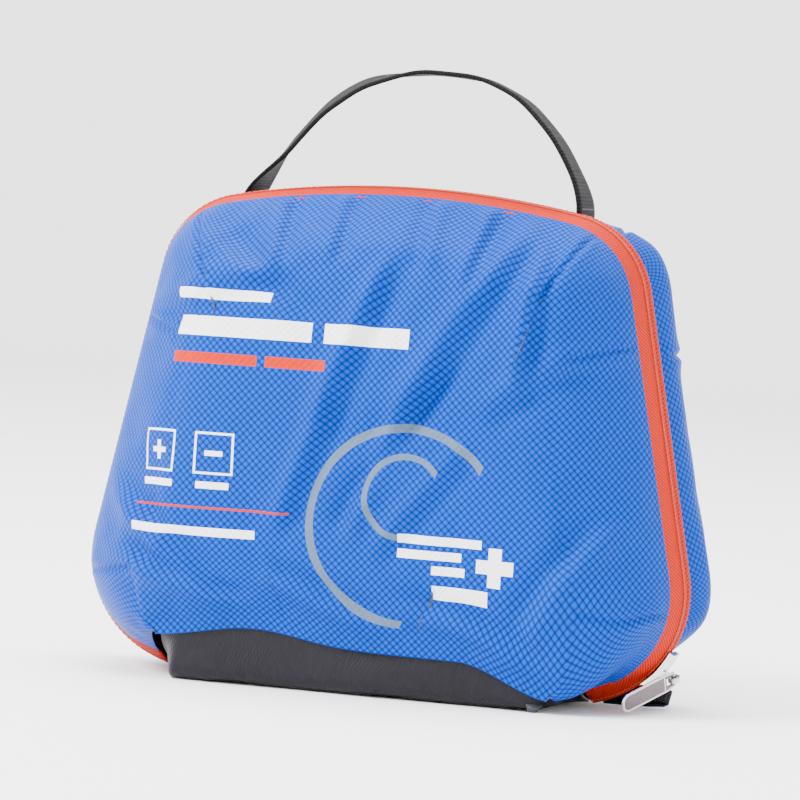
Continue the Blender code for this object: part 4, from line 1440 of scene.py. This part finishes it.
@dataclass
class Handle:
    """The webbing carry handle: a loop whose two ends are sewn into the rear top corners.

    Attributes:
        width: Width of the webbing.
        thickness: Its thickness.
        middle_y: Y of its middle line.
        pivot_z: Height above which it swings. Not used.
        line: Points (x, z) of its middle line, from the left end over the top to the right end.
        twist: How far the webbing is turned toward the front at its left foot, in degrees.
    """

    width: float = 0.0215
    thickness: float = 0.0013
    middle_y: float = 0.0132
    pivot_z: float = 0.179
    line: tuple[tuple[float, float], ...] = (
        (-0.0650, 0.1620),
        (-0.0610, 0.1725),
        (-0.0475, 0.1900),
        (-0.0365, 0.2030),
        (-0.0230, 0.2122),
        (0.0000, 0.2172),
        (0.0215, 0.2158),
        (0.0370, 0.2088),
        (0.0500, 0.1955),
        (0.0588, 0.1806),
        (0.0618, 0.1718),
        (0.0600, 0.1620),
    )
    twist: float = 17.0

    def build(self) -> list[bpy.types.Object]:
        """Builds the webbing and the stitches on its sewn ends."""
        webbing = RibbedCloth("webbing_black", "#121115", "#020203", 0.0013, 0.0, 0.00030, 0.7).build()
        path = self._path()
        run = run_along(path)
        along = run / run[-1]
        across = np.linspace(-0.5, 0.5, 13)
        tangent = np.gradient(path, axis=0)
        tangent /= np.linalg.norm(tangent, axis=1, keepdims=True)
        out = np.stack([-tangent[:, 2], tangent[:, 0] * 0, tangent[:, 0]], 1)
        turn = np.radians(self.twist) * (smooth((along - 0.05) / 0.13) - smooth((along - 0.30) / 0.22))
        turn -= np.radians(4.0) * smooth((along - 0.50) / 0.2) * (1 - smooth((along - 0.86) / 0.1))
        wide = np.array([0.0, 1.0, 0.0]) * np.cos(turn)[:, None] + out * np.sin(turn)[:, None]
        grid = path[:, None] + wide[:, None] * (across * self.width)[None, :, None]
        # Its selvedges are thinner and lean in a little
        edge = 0.00035 * smooth((np.abs(across) - 0.40) / 0.1)
        grid -= out[:, None] * edge[None, :, None]
        spread = np.broadcast_to(across * self.width, grid.shape[:2])
        uv = np.stack([np.repeat(run[:, None], len(across), 1), spread], -1)
        strap = thicken(grid_piece("webbing_handle", grid, webbing, uv), self.thickness, offset=0.0)
        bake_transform(strap)
        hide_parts("carry_handle", "handle_anchor_left", "handle_anchor_right")
        return [strap, *self._rows(path)]

    def _path(self) -> np.ndarray:
        """The webbing's middle line, rounded through its points."""
        x, z = np.array(self.line).T
        path = resampled(np.stack([x, np.full_like(x, self.middle_y), z], 1), 0.0012)
        for _ in range(26):
            path[1:-1] = (path[:-2] + 2 * path[1:-1] + path[2:]) / 4
        return resampled(path, 0.0016)

    def _rows(self, path: np.ndarray) -> list[bpy.types.Object]:
        """Rows of stitches across each end, just above the seam that takes it."""
        thread = MouldedPlastic("thread_black", "#2a292e", 0.45).build()
        made = []
        for word, at in (("left", path[6]), ("right", path[-7])):
            side = -1 if word == "left" else 1
            out = np.array([side * 0.83, 0.0, 0.56])
            reach = np.linspace(-0.42, 0.42, 9)[:, None] * (0.0, self.width, 0.0)
            top = at + out * (self.thickness / 2 + 0.0001) + reach
            row = stitches(f"handle_stitches_{word}", top, np.repeat(out[None], 9, 0), thread, 0.0022)
            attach(row, "case")
            made.append(row)
        return made


# ------------------------------------------------------------------ supplies


@dataclass(frozen=True)
class Packet:
    """A flat sealed packet: puffed in the middle, with a crimped seal round it.

    Attributes:
        name: The piece's name.
        node: The CAD node it stands for.
        slot: The material slot. Not used.
        body: The body it rides on.
        seal: Width of the crimped seal.
        finish: Its wrapper.
    """

    name: str
    node: str
    slot: str
    body: str
    seal: float
    finish: Wrapper

    def build(self) -> bpy.types.Object:
        """Builds the packet inside its CAD node's box."""
        low, high = box_of(self.node)
        middle, size = (low + high) / 2, high - low
        steps = 41
        u, v = np.meshgrid(np.linspace(-1, 1, steps), np.linspace(-1, 1, steps))
        inner_u = np.clip((1 - np.abs(u)) / self._seal(size[0]), 0, 1)
        inner_v = np.clip((1 - np.abs(v)) / self._seal(size[2]), 0, 1)
        puff = (smooth(inner_u) * smooth(inner_v)) ** 0.7
        lumps = 1 + 0.14 * np.sin(u * 5.1 + 1.3) * np.sin(v * 4.3 + 0.4)
        crimp = 0.00012 * np.sin(v * size[2] * 2600) * (1 - np.minimum(inner_u, inner_v) > 0.5)
        half = 0.00018 + (size[1] / 2 - 0.0004) * puff * lumps * 0.88
        sides = []
        for way in (-1, 1):
            y = middle[1] + way * half + crimp
            sides.append(np.stack([middle[0] + u * size[0] / 2, y, middle[2] + v * size[2] / 2], -1))
        uv = np.stack([u * size[0] / 2, v * size[2] / 2], -1).reshape(-1, 2)
        points = np.concatenate([side.reshape(-1, 3) for side in sides])
        count = steps * steps
        faces = grid_faces(steps, steps)
        faces += [tuple(i + count for i in face[::-1]) for face in grid_faces(steps, steps)]
        edge = [*range(steps), *range(2 * steps - 1, count, steps)]
        edge += [*range(count - 2, count - steps - 1, -1), *range(count - 2 * steps, 0, -steps)]
        for a, b in zip(edge, edge[1:] + edge[:1], strict=True):
            faces.append((b, a, a + count, b + count))
        piece = mesh_piece(self.name, points, faces, self.finish.build(), np.concatenate([uv, uv]))
        stand(piece, self.node, self.body)
        return piece

    def _seal(self, side: float) -> float:
        """The seal's and the puffed edge's share of half a side."""
        return (self.seal + 0.005) / side * 2


PACKETS = (
    Packet(
        "nitrile_gloves_packet", "glove_packet", "glove_film", "case", 0.004,
        Wrapper("film_sky", "#8fc3e8", 0.22, 0.0005, (
            Print(PrintShape.BAR, (0.0, 0.018), (0.052, 0.008), "#1d4f9c"),
            Print(PrintShape.BAR, (-0.006, 0.006), (0.038, 0.003), "#eef4fa"),
        )),
    ),
    Packet(
        "gauze_pads", "gauze_pads_packet", "gauze_paper", "case", 0.005,
        Wrapper("paper_gauze", "#f1f1ec", 0.6, 0.0004, (
            Print(PrintShape.BAR, (0.0, 0.026), (0.062, 0.006), "#2f7fc4"),
            Print(PrintShape.BAR, (0.0, 0.010), (0.040, 0.003), "#6f7a86"),
            Print(PrintShape.BAR, (0.0, 0.003), (0.030, 0.0025), "#6f7a86"),
        )),
    ),
    *(
        Packet(
            f"antiseptic_wipe_{i}", f"wipe_packet_{i}", "wipe_foil", "front", 0.003,
            Wrapper(f"foil_wipe_{i}", "#e9edf0", 0.3, 0.0004, (
                Print(PrintShape.BAR, (0.0, 0.010), (0.020, 0.006), "#2a9c8f"),
                Print(PrintShape.BAR, (0.0, 0.000), (0.014, 0.002), "#4b5560"),
                Print(PrintShape.BAR, (0.0, -0.005), (0.014, 0.002), "#4b5560"),
            )),
        )
        for i in (1, 2, 3)
    ),
    Packet(
        "adhesive_strips", "bandage_strips", "strip_paper", "front", 0.003,
        Wrapper("paper_strips", "#efe3cc", 0.6, 0.0003, (
            Print(PrintShape.BAR, (0.0, 0.022), (0.016, 0.008), "#c9473f"),
            Print(PrintShape.BAR, (0.0, -0.004), (0.0026, 0.030), "#b58a5c"),
        )),
    ),
)


@dataclass
class Supplies:
    def build(self) -> list[bpy.types.Object]:
        """Builds every piece of the contents."""
        made = [packet.build() for packet in PACKETS]
        made += [self._pocket(), self._booklet(), *self._rolls(), *self._bottle(), *self._ointment()]
        return [*made, *self._steel(), *self._syringe()]

    @staticmethod
    def _middle(node: str) -> Vector:
        """The middle of a CAD node's box."""
        low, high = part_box(node)
        return (Vector(low) + Vector(high)) / 2

    def _pocket(self) -> bpy.types.Object:
        """The mesh pocket: an open knit net with a hem of elastic."""
        black = MouldedPlastic("net_black", "#1c1b1f", 0.6).build()
        low, high = box_of("front_pocket")
        middle_y = (low[1] + high[1]) / 2
        across, up = 50, 34
        columns, rows = np.linspace(low[0], high[0], across + 1), np.linspace(low[2], high[2], up + 1)
        u, v = np.meshgrid(columns, rows)
        y = middle_y + 0.0006 * np.sin((u - low[0]) * 50) * np.sin((v - low[2]) * 36)
        sway = 0.0007 * np.where(np.arange(up + 1) % 2 == 0, 1, -1)[:, None]
        grid = np.stack([np.clip(u + sway, low[0], high[0]), y, v], -1)
        net = grid_piece("pocket_net", grid, black)
        threads = net.modifiers.new("net", "WIREFRAME")
        threads.thickness, threads.use_even_offset = 0.00045, False
        settle(net)
        stand(net, "front_pocket", "front")
        hem_cloth = RibbedCloth("hem_black", "#2c2b30", "#0e0d10", 0.0011).build()
        band = [
            [(x, middle_y + 0.0007, high[2] - drop) for x in np.linspace(low[0], high[0], 40)]
            for drop in (0.0, 0.0045, 0.009)
        ]
        hem = thicken(grid_piece("pocket_hem", np.array(band), hem_cloth), 0.0010, offset=0.0)
        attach(hem, "front")
        return net

    def _booklet(self) -> bpy.types.Object:
        """The instruction booklet: cover and pages folded round a spine."""
        low, high = box_of("instruction_booklet")
        cover = Wrapper("booklet_cover", "#f3f4f4", 0.32, 0.00005, (
            Print(PrintShape.BAR, (-0.010, 0.118), (0.084, 0.018), "#1f63c4"),
            Print(PrintShape.BAR, (-0.010, 0.086), (0.060, 0.004), "#58626e"),
            Print(PrintShape.BAR, (-0.010, 0.078), (0.060, 0.004), "#58626e"),
            Print(PrintShape.BAR, (-0.010, 0.050), (0.030, 0.0085), "#d8452f"),
            Print(PrintShape.BAR, (-0.010, 0.050), (0.0085, 0.030), "#d8452f"),
        )).build()
        sheets = []
        for k in range(7):
            y = low[1] + 0.0002 + k * (high[1] - low[1] - 0.0004) / 6
            trim = 0.0 if k in (0, 6) else 0.0009 + 0.0002 * (k % 3)
            lift = 0.0003 * math.sin(k * 1.7)
            x = np.linspace(low[0], high[0] - trim, 12)
            rows = [
                [(px, y + lift * ((px - low[0]) / 0.1) ** 2, z) for px in x]
                for z in np.linspace(low[2] + trim, high[2] - trim, 10)
            ]
            sheets.append(thicken(grid_piece(f"leaf_{k}", np.array(rows), cover), 0.00022, offset=0.0))
        turn = np.linspace(math.pi / 2, math.pi * 3 / 2, 9)
        radius, middle_y = (high[1] - low[1]) / 2, (low[1] + high[1]) / 2
        wide, thick = radius * 0.6, radius * 0.94
        section = [(low[0] + wide * math.cos(a), middle_y + thick * math.sin(a)) for a in turn]
        spine = [[(x, y, z) for x, y in section] for z in np.linspace(low[2], high[2], 6)]
        sheets.append(thicken(grid_piece("leaf_spine", np.array(spine), cover), 0.00022, offset=0.0))
        return stand(joined("booklet", sheets), "instruction_booklet")

    @staticmethod
    def _spiral(
        name: str, node: str, thick: float, finish: bpy.types.Material, slot: str
    ) -> bpy.types.Object:
        """A dressing wound on itself, lying along X."""
        low, high = box_of(node)
        radius, length = (high[2] - low[2]) / 2, high[0] - low[0]
        middle = (low + high) / 2
        turns = (radius - 0.002) / thick
        count = int(turns * 44)
        angle = np.linspace(0, turns * 2 * math.pi, count)
        reach = 0.0016 + (radius - 0.0016 - thick * 0.4) * angle / angle[-1]
        reach *= 1 + 0.012 * np.sin(angle * 2.3)
        along = np.linspace(-length / 2, length / 2, 15)
        grid = np.empty((count, len(along), 3))
        grid[..., 0] = middle[0] + along * (1 - 0.004 * np.sin(angle)[:, None] ** 2)
        grid[..., 1] = middle[1] + (reach * np.cos(angle))[:, None]
        grid[..., 2] = middle[2] + (reach * np.sin(angle))[:, None]
        run = np.repeat(run_along(grid[:, 0])[:, None], len(along), 1)
        uv = np.stack([run, np.broadcast_to(along, grid.shape[:2])], -1)
        roll = thicken(grid_piece(name, grid, finish, uv), thick * 0.62, offset=0.0)
        return stand(roll, node)

    def _rolls(self) -> list[bpy.types.Object]:
        """The elastic bandage, the gauze roll, and the tape on its card core."""
        crepe = RibbedCloth("crepe_tan", "#e9d8b8", "#c4ab82", 0.0013, 12.0, 0.00025, 0.85).build()
        gauze = RibbedCloth("gauze_white", "#f5f4ef", "#cfcec7", 0.0014, 0.0, 0.0002, 0.9).build()
        bandage = self._spiral("elastic_bandage_roll", "elastic_bandage", 0.0016, crepe, "elastic_weave")
        roll = self._spiral("gauze_bandage_roll", "gauze_roll", 0.0013, gauze, "gauze_weave")
        tape_finish = Wrapper("tape_white", "#f3f3f0", 0.55, 0.0002).build()
        card = Wrapper("card_brown", "#b8935f", 0.8, 0.0002).build()
        middle = self._middle("tape_roll")
        rings = [(0.0210 - 0.00008 * (k % 2), 0.0062 - k * 0.0124 / 12) for k in range(13)]
        layers = [(0.0133 + 0.0077 * k / 16, 0.0062 - 0.00012 * (k % 2)) for k in range(17)]
        profile = [*layers, *rings, *((r, -z) for r, z in reversed(layers))]
        tape = turned("medical_tape_roll", profile, tape_finish, "Y", 64)
        sleeve = [(0.0130, 0.0066), (0.0130, -0.0066), (0.0116, -0.0066), (0.0116, 0.0066)]
        core = turned("medical_tape_core", sleeve, card, "Y", 64)
        for piece, node, slot in ((tape, "tape_roll", "medical_tape"), (core, "tape_core", "card_core")):
            piece.data.transform(Matrix.Translation(middle))
            stand(piece, node)
        return [bandage, roll, tape, core]

    def _bottle(self) -> list[bpy.types.Object]:
        """The tablet bottle with a plain label, and its ribbed cap."""
        amber = MouldedPlastic("plastic_amber", "#c4651a", 0.18, 0.35).build()
        white = MouldedPlastic("plastic_white", "#eef0f0", 0.38).build()
        label = Wrapper("label_white", "#f4f5f3", 0.5, 0.00003, (
            Print(PrintShape.BAR, (0.030, 0.016), (0.060, 0.0035), "#2f6fc0"),
            Print(PrintShape.BAR, (0.030, 0.010), (0.040, 0.0015), "#68727e"),
            Print(PrintShape.BAR, (0.030, 0.006), (0.040, 0.0015), "#68727e"),
        )).build()
        centre = Vector((0.053, 0.004, 0.108))
        body = [(0, 0.0318), (0.0098, 0.0318), (0.0098, 0.0272), (0.0112, 0.0258), (0.0124, 0.0240)]
        body += [(0.0129, 0.0220), (0.0129, -0.0105), (0.0120, -0.0119), (0.0060, -0.0119)]
        body += [(0.0050, -0.0110), (0, -0.0110)]
        wrap = [(0.01315, 0.0180), (0.01315, -0.0060), (0.0130, -0.0060), (0.0130, 0.0180)]
        steps = 60
        angles = np.arange(steps) * 2 * math.pi / steps
        ribs = 0.0134 - 0.0003 * (np.arange(steps) % 2)
        cap_profile = [(0.0, 0.0442), (0.70, 0.0442), (0.72, 0.0438), (0.90, 0.0440), (0.97, 0.0435)]
        cap_profile += [(1.0, 0.0425), (1.0, 0.0292), (0.78, 0.0292), (0.78, 0.0330), (0.0, 0.0330)]
        cap_rows = []
        for share, height in cap_profile:
            reach = ribs * share if share == 1.0 else np.full(steps, 0.0131 * share)
            level = np.full(steps, height)
            cap_rows.append(np.stack([reach * np.cos(angles), reach * np.sin(angles), level], 1))
        cap = grid_piece("tablet_cap", np.array(cap_rows), white, flip=True, ring=True)
        pieces = [turned("tablet_bottle_body", body, amber), turned("tablet_label", wrap, label), cap]
        for piece in pieces:
            piece.data.transform(Matrix.Translation(centre))
        stand(pieces[0], "tablet_bottle")
        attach(pieces[1], "case")
        stand(pieces[2], "tablet_bottle_cap")
        return pieces

    def _ointment(self) -> list[bpy.types.Object]:
        """The ointment tube: round at the cap and pressed flat at the other end."""
        laminate = Wrapper("laminate_white", "#eff1f1", 0.28, 0.0001, (
            Print(PrintShape.BAR, (0.0, 0.112), (0.060, 0.010), "#2f8f5b"),
            Print(PrintShape.BAR, (0.0, 0.098), (0.060, 0.002), "#68727e"),
        )).build()
        green = MouldedPlastic("plastic_green", "#3a8f58", 0.35).build()
        centre, radius, length = Vector((-0.030, -0.0190, 0.105)), 0.0084, 0.067
        steps = 48
        angles = np.arange(steps) * 2 * math.pi / steps
        shares = np.concatenate([[0.0, 0.0, 0.02], np.linspace(0.05, 1.0, 24)])
        # The first rows close the shoulder under the cap
        closes = [0.0, 0.55, 0.93] + [1.0] * (len(shares) - 3)
        rows = []
        for share, close in zip(shares, closes, strict=True):
            flat = smooth(share) ** 0.8
            wide, thin = radius * (1 + 0.28 * flat), radius * (1 - 0.93 * flat)
            x, y = wide * close * np.cos(angles), thin * close * np.sin(angles)
            level = np.full(steps, centre.z - length / 2 + length * share)
            rows.append(np.stack([x + centre.x, y + centre.y, level], 1))
        grid = np.array(rows)
        body = grid_piece("ointment_tube_body", grid, laminate, grid[..., (0, 2)] - (centre.x, 0), ring=True)
        stand(body, "ointment_tube")
        profile = [(0, 0.0059), (0.0058, 0.0059), (0.0062, 0.0054)]
        profile += [(0.0069, -0.0054), (0.0066, -0.0059), (0, -0.0059)]
        cap = turned("ointment_tube_cap", profile, green, steps=36)
        cap.data.transform(Matrix.Translation(self._middle("ointment_cap")))
        stand(cap, "ointment_cap")
        return [body, cap]

    def _steel(self) -> list[bpy.types.Object]:
        """The shears and tweezers keep their CAD shapes in ground steel, with soft rings for fingers."""
        steel = Metal("steel_ground", "#c3c5c8", 0.24, 12.0).build()
        for node in ("shears_blade", "shears_arm", "shears_rivet", "tweezers"):
            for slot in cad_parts[node].material_slots:
                slot.material = steel
        grip = MouldedPlastic("grip_black", "#202024", 0.45).build()
        made = []
        angles = np.radians(np.arange(0, 360, 7.5))
        radius, flat = 0.0122, Matrix.Diagonal((1, 0.9, 1, 1))
        for word, side, y, body in (("right", 1, 0.0236, "case"), ("left", -1, 0.0212, "shears_moving")):
            x, z = -0.004 + side * 0.019, 0.086 - 0.052
            level = np.full_like(angles, y)
            ring = np.stack([x + radius * np.cos(angles), level, z + radius * np.sin(angles)], 1)
            loop = wire(f"shears_grip_{word}", [ring], 0.0011, grip, 8, closed=True)
            centre = Matrix.Translation((0, y, 0))
            loop.data.transform(centre @ flat @ centre.inverted())
            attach(loop, body)
            made.append(loop)
        return made

    def _syringe(self) -> list[bpy.types.Object]:
        """The irrigation syringe's flanged barrel, with its scale, and the plunger."""
        clear = MouldedPlastic("plastic_clear", "#dbe8ef", 0.15, 0.75).build()
        white = MouldedPlastic("plastic_plunger", "#e9edf0", 0.35).build()
        rubber = MouldedPlastic("rubber_black", "#1b1b1d", 0.55).build()
        centre = Vector((-0.0715, 0.004, 0.092))
        radius = 0.0085
        barrel = [(0.0104, 0.0319), (0.0104, 0.0302), (radius, 0.0300), (radius, -0.0240)]
        barrel += [(0.0075, -0.0258), (0.0030, -0.0288), (0.0026, -0.0359), (0.0012, -0.0359)]
        barrel += [(0.0012, -0.0288), (0.0074, -0.0245), (0.0074, 0.0319)]
        plunger = [(0, 0.0399), (0.0091, 0.0399), (0.0091, 0.0381), (0.0025, 0.0379)]
        plunger += [(0.0025, -0.0150), (0, -0.0150)]
        seal = [(0, -0.0155), (0.0060, -0.0155), (0.0067, -0.0165), (0.0063, -0.0190)]
        seal += [(0.0067, -0.0215), (0, -0.0224)]
        parts = (("tube", barrel, clear), ("rod", plunger, white), ("seal", seal, rubber))
        pieces = [turned(f"syringe_{word}", profile, finish) for word, profile, finish in parts]
        marks = []
        for k in range(9):
            sweep = np.radians(np.linspace(-120, -60 if k % 4 == 0 else -85, 10))
            level = np.full(10, -0.020 + k * 0.0045)
            marks.append(np.stack([radius * np.cos(sweep), radius * np.sin(sweep), level], 1))
        scale = wire("syringe_scale", marks, 0.00014, rubber, 4)
        for piece in (*pieces, scale):
            piece.data.transform(Matrix.Translation(centre))
        stand(pieces[0], "syringe_barrel")
        stand(pieces[1], "syringe_plunger", "plunger")
        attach(pieces[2], "plunger")
        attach(scale, "case")
        return [*pieces, scale]


# ------------------------------------------------------------------ studio


@dataclass
class Studio:
    """The pale floor with its curved backdrop, the soft lights and the camera."""

    azimuth: float = 16.7
    elevation: float = 2.6
    roll: float = 3.5
    distance: float = 1.62
    focal: float = 207.7
    aim: tuple[float, float, float] = (0.0012, 0.0, 0.1013)

    def build(self) -> None:
        """Builds the studio."""
        self._backdrop()
        self._lamp("key_light", (-0.95, -0.80, 1.20), 0.7, 62.0)
        self._lamp("fill_light", (1.25, -0.90, 0.45), 1.0, 3.0)
        self._lamp("overhead_light", (0.0, 0.3, 2.2), 2.0, 130.0, toward=(0.0, 0.3, 0.0))
        world = bpy.context.scene.world or bpy.data.worlds.new("soft_room")
        bpy.context.scene.world = world
        world.use_nodes = True
        sky = world.node_tree.nodes["Background"]
        sky.inputs["Color"].default_value = linear("#ffffff")
        sky.inputs["Strength"].default_value = 1.6
        self._camera()

    def _backdrop(self) -> None:
        """A wide round floor whose edge curves up to a wall on every side, so that no horizon shows."""
        turn = np.linspace(0, math.pi / 2, 13)[1:]
        flat, bend, wall = 2.4, 0.8, 2.4
        profile = [(r, 0.0) for r in (0.02, 0.3, 0.9, 1.6, flat)]
        profile += [(flat + bend * math.sin(a), bend * (1 - math.cos(a))) for a in turn]
        profile.append((flat + bend, wall))
        radius, height = np.array(profile).T[:, :, None]
        steps = 96
        angles = np.arange(steps) * 2 * math.pi / steps
        points = (radius * np.cos(angles), radius * np.sin(angles), height + 0 * angles)
        material, tree, shader = new_surface("paper_backdrop", Roughness=0.85)
        cloudy = add_node(tree, "ShaderNodeTexNoise", {"Vector": object_place(tree), "Scale": 3.0})
        tint = {0: cloudy.outputs["Fac"], 6: linear("#f6f6f5"), 7: linear("#fbfbfb")}
        colour = add_node(tree, "ShaderNodeMix", tint, data_type="RGBA")
        tree.links.new(colour.outputs[2], shader.inputs["Base Color"])
        bowl = grid_piece("studio_backdrop", np.stack(points, -1), material, flip=True, ring=True)
        # The hole in the floor's middle is filled, and the one over the wall stays open
        bm = bmesh.new()
        bm.from_mesh(bowl.data)
        bmesh.ops.holes_fill(bm, edges=[e for e in bm.edges if e.is_boundary], sides=steps)
        top = [f for f in bm.faces if f.calc_center_median().z > wall - 0.01]
        bmesh.ops.delete(bm, geom=top, context="FACES_ONLY")
        bm.to_mesh(bowl.data)
        bm.free()

    def _lamp(
        self,
        name: str,
        place: tuple[float, float, float],
        size: float,
        power: float,
        toward: tuple[float, float, float] | None = None,
    ) -> None:
        """A square soft light, aimed at the object unless it is given another point."""
        light = bpy.data.lights.new(name, "AREA")
        light.shape, light.size, light.energy = "SQUARE", size, power
        lamp = bpy.data.objects.new(name, light)
        lamp.location = place
        lamp.rotation_euler = (Vector(toward or self.aim) - Vector(place)).to_track_quat("-Z", "Y").to_euler()
        bpy.context.scene.collection.objects.link(lamp)

    def _camera(self) -> None:
        """The camera, turned to its azimuth and elevation and rolled."""
        turn, rise = math.radians(self.azimuth), math.radians(self.elevation)
        back = Vector((math.sin(turn) * math.cos(rise), -math.cos(turn) * math.cos(rise), math.sin(rise)))
        camera = bpy.data.objects.new("camera", bpy.data.cameras.new("camera"))
        camera.data.lens, camera.data.sensor_width = self.focal, 36.0
        camera.data.clip_end = 20.0
        right = Vector((math.cos(turn), math.sin(turn), 0.0))
        up = back.cross(right)
        lean = math.radians(self.roll)
        across = right * math.cos(lean) + up * math.sin(lean)
        above = up * math.cos(lean) - right * math.sin(lean)
        facing = Matrix((across, above, back)).transposed().to_4x4()
        camera.matrix_world = Matrix.Translation(Vector(self.aim) + back * self.distance) @ facing
        bpy.context.scene.collection.objects.link(camera)
        bpy.context.scene.camera = camera


def main() -> None:
    """Builds the pouch, the zipper, the handle, the supplies and the studio."""
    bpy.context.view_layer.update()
    for assembly in (Pouch(), Zipper(), Handle(), Supplies()):
        for piece in assembly.build():
            faces = len(piece.data.polygons)
            log.info("%s: %s, %d faces", type(assembly).__name__, piece.name, faces)
    Studio().build()


if __name__ == "__main__":
    main()
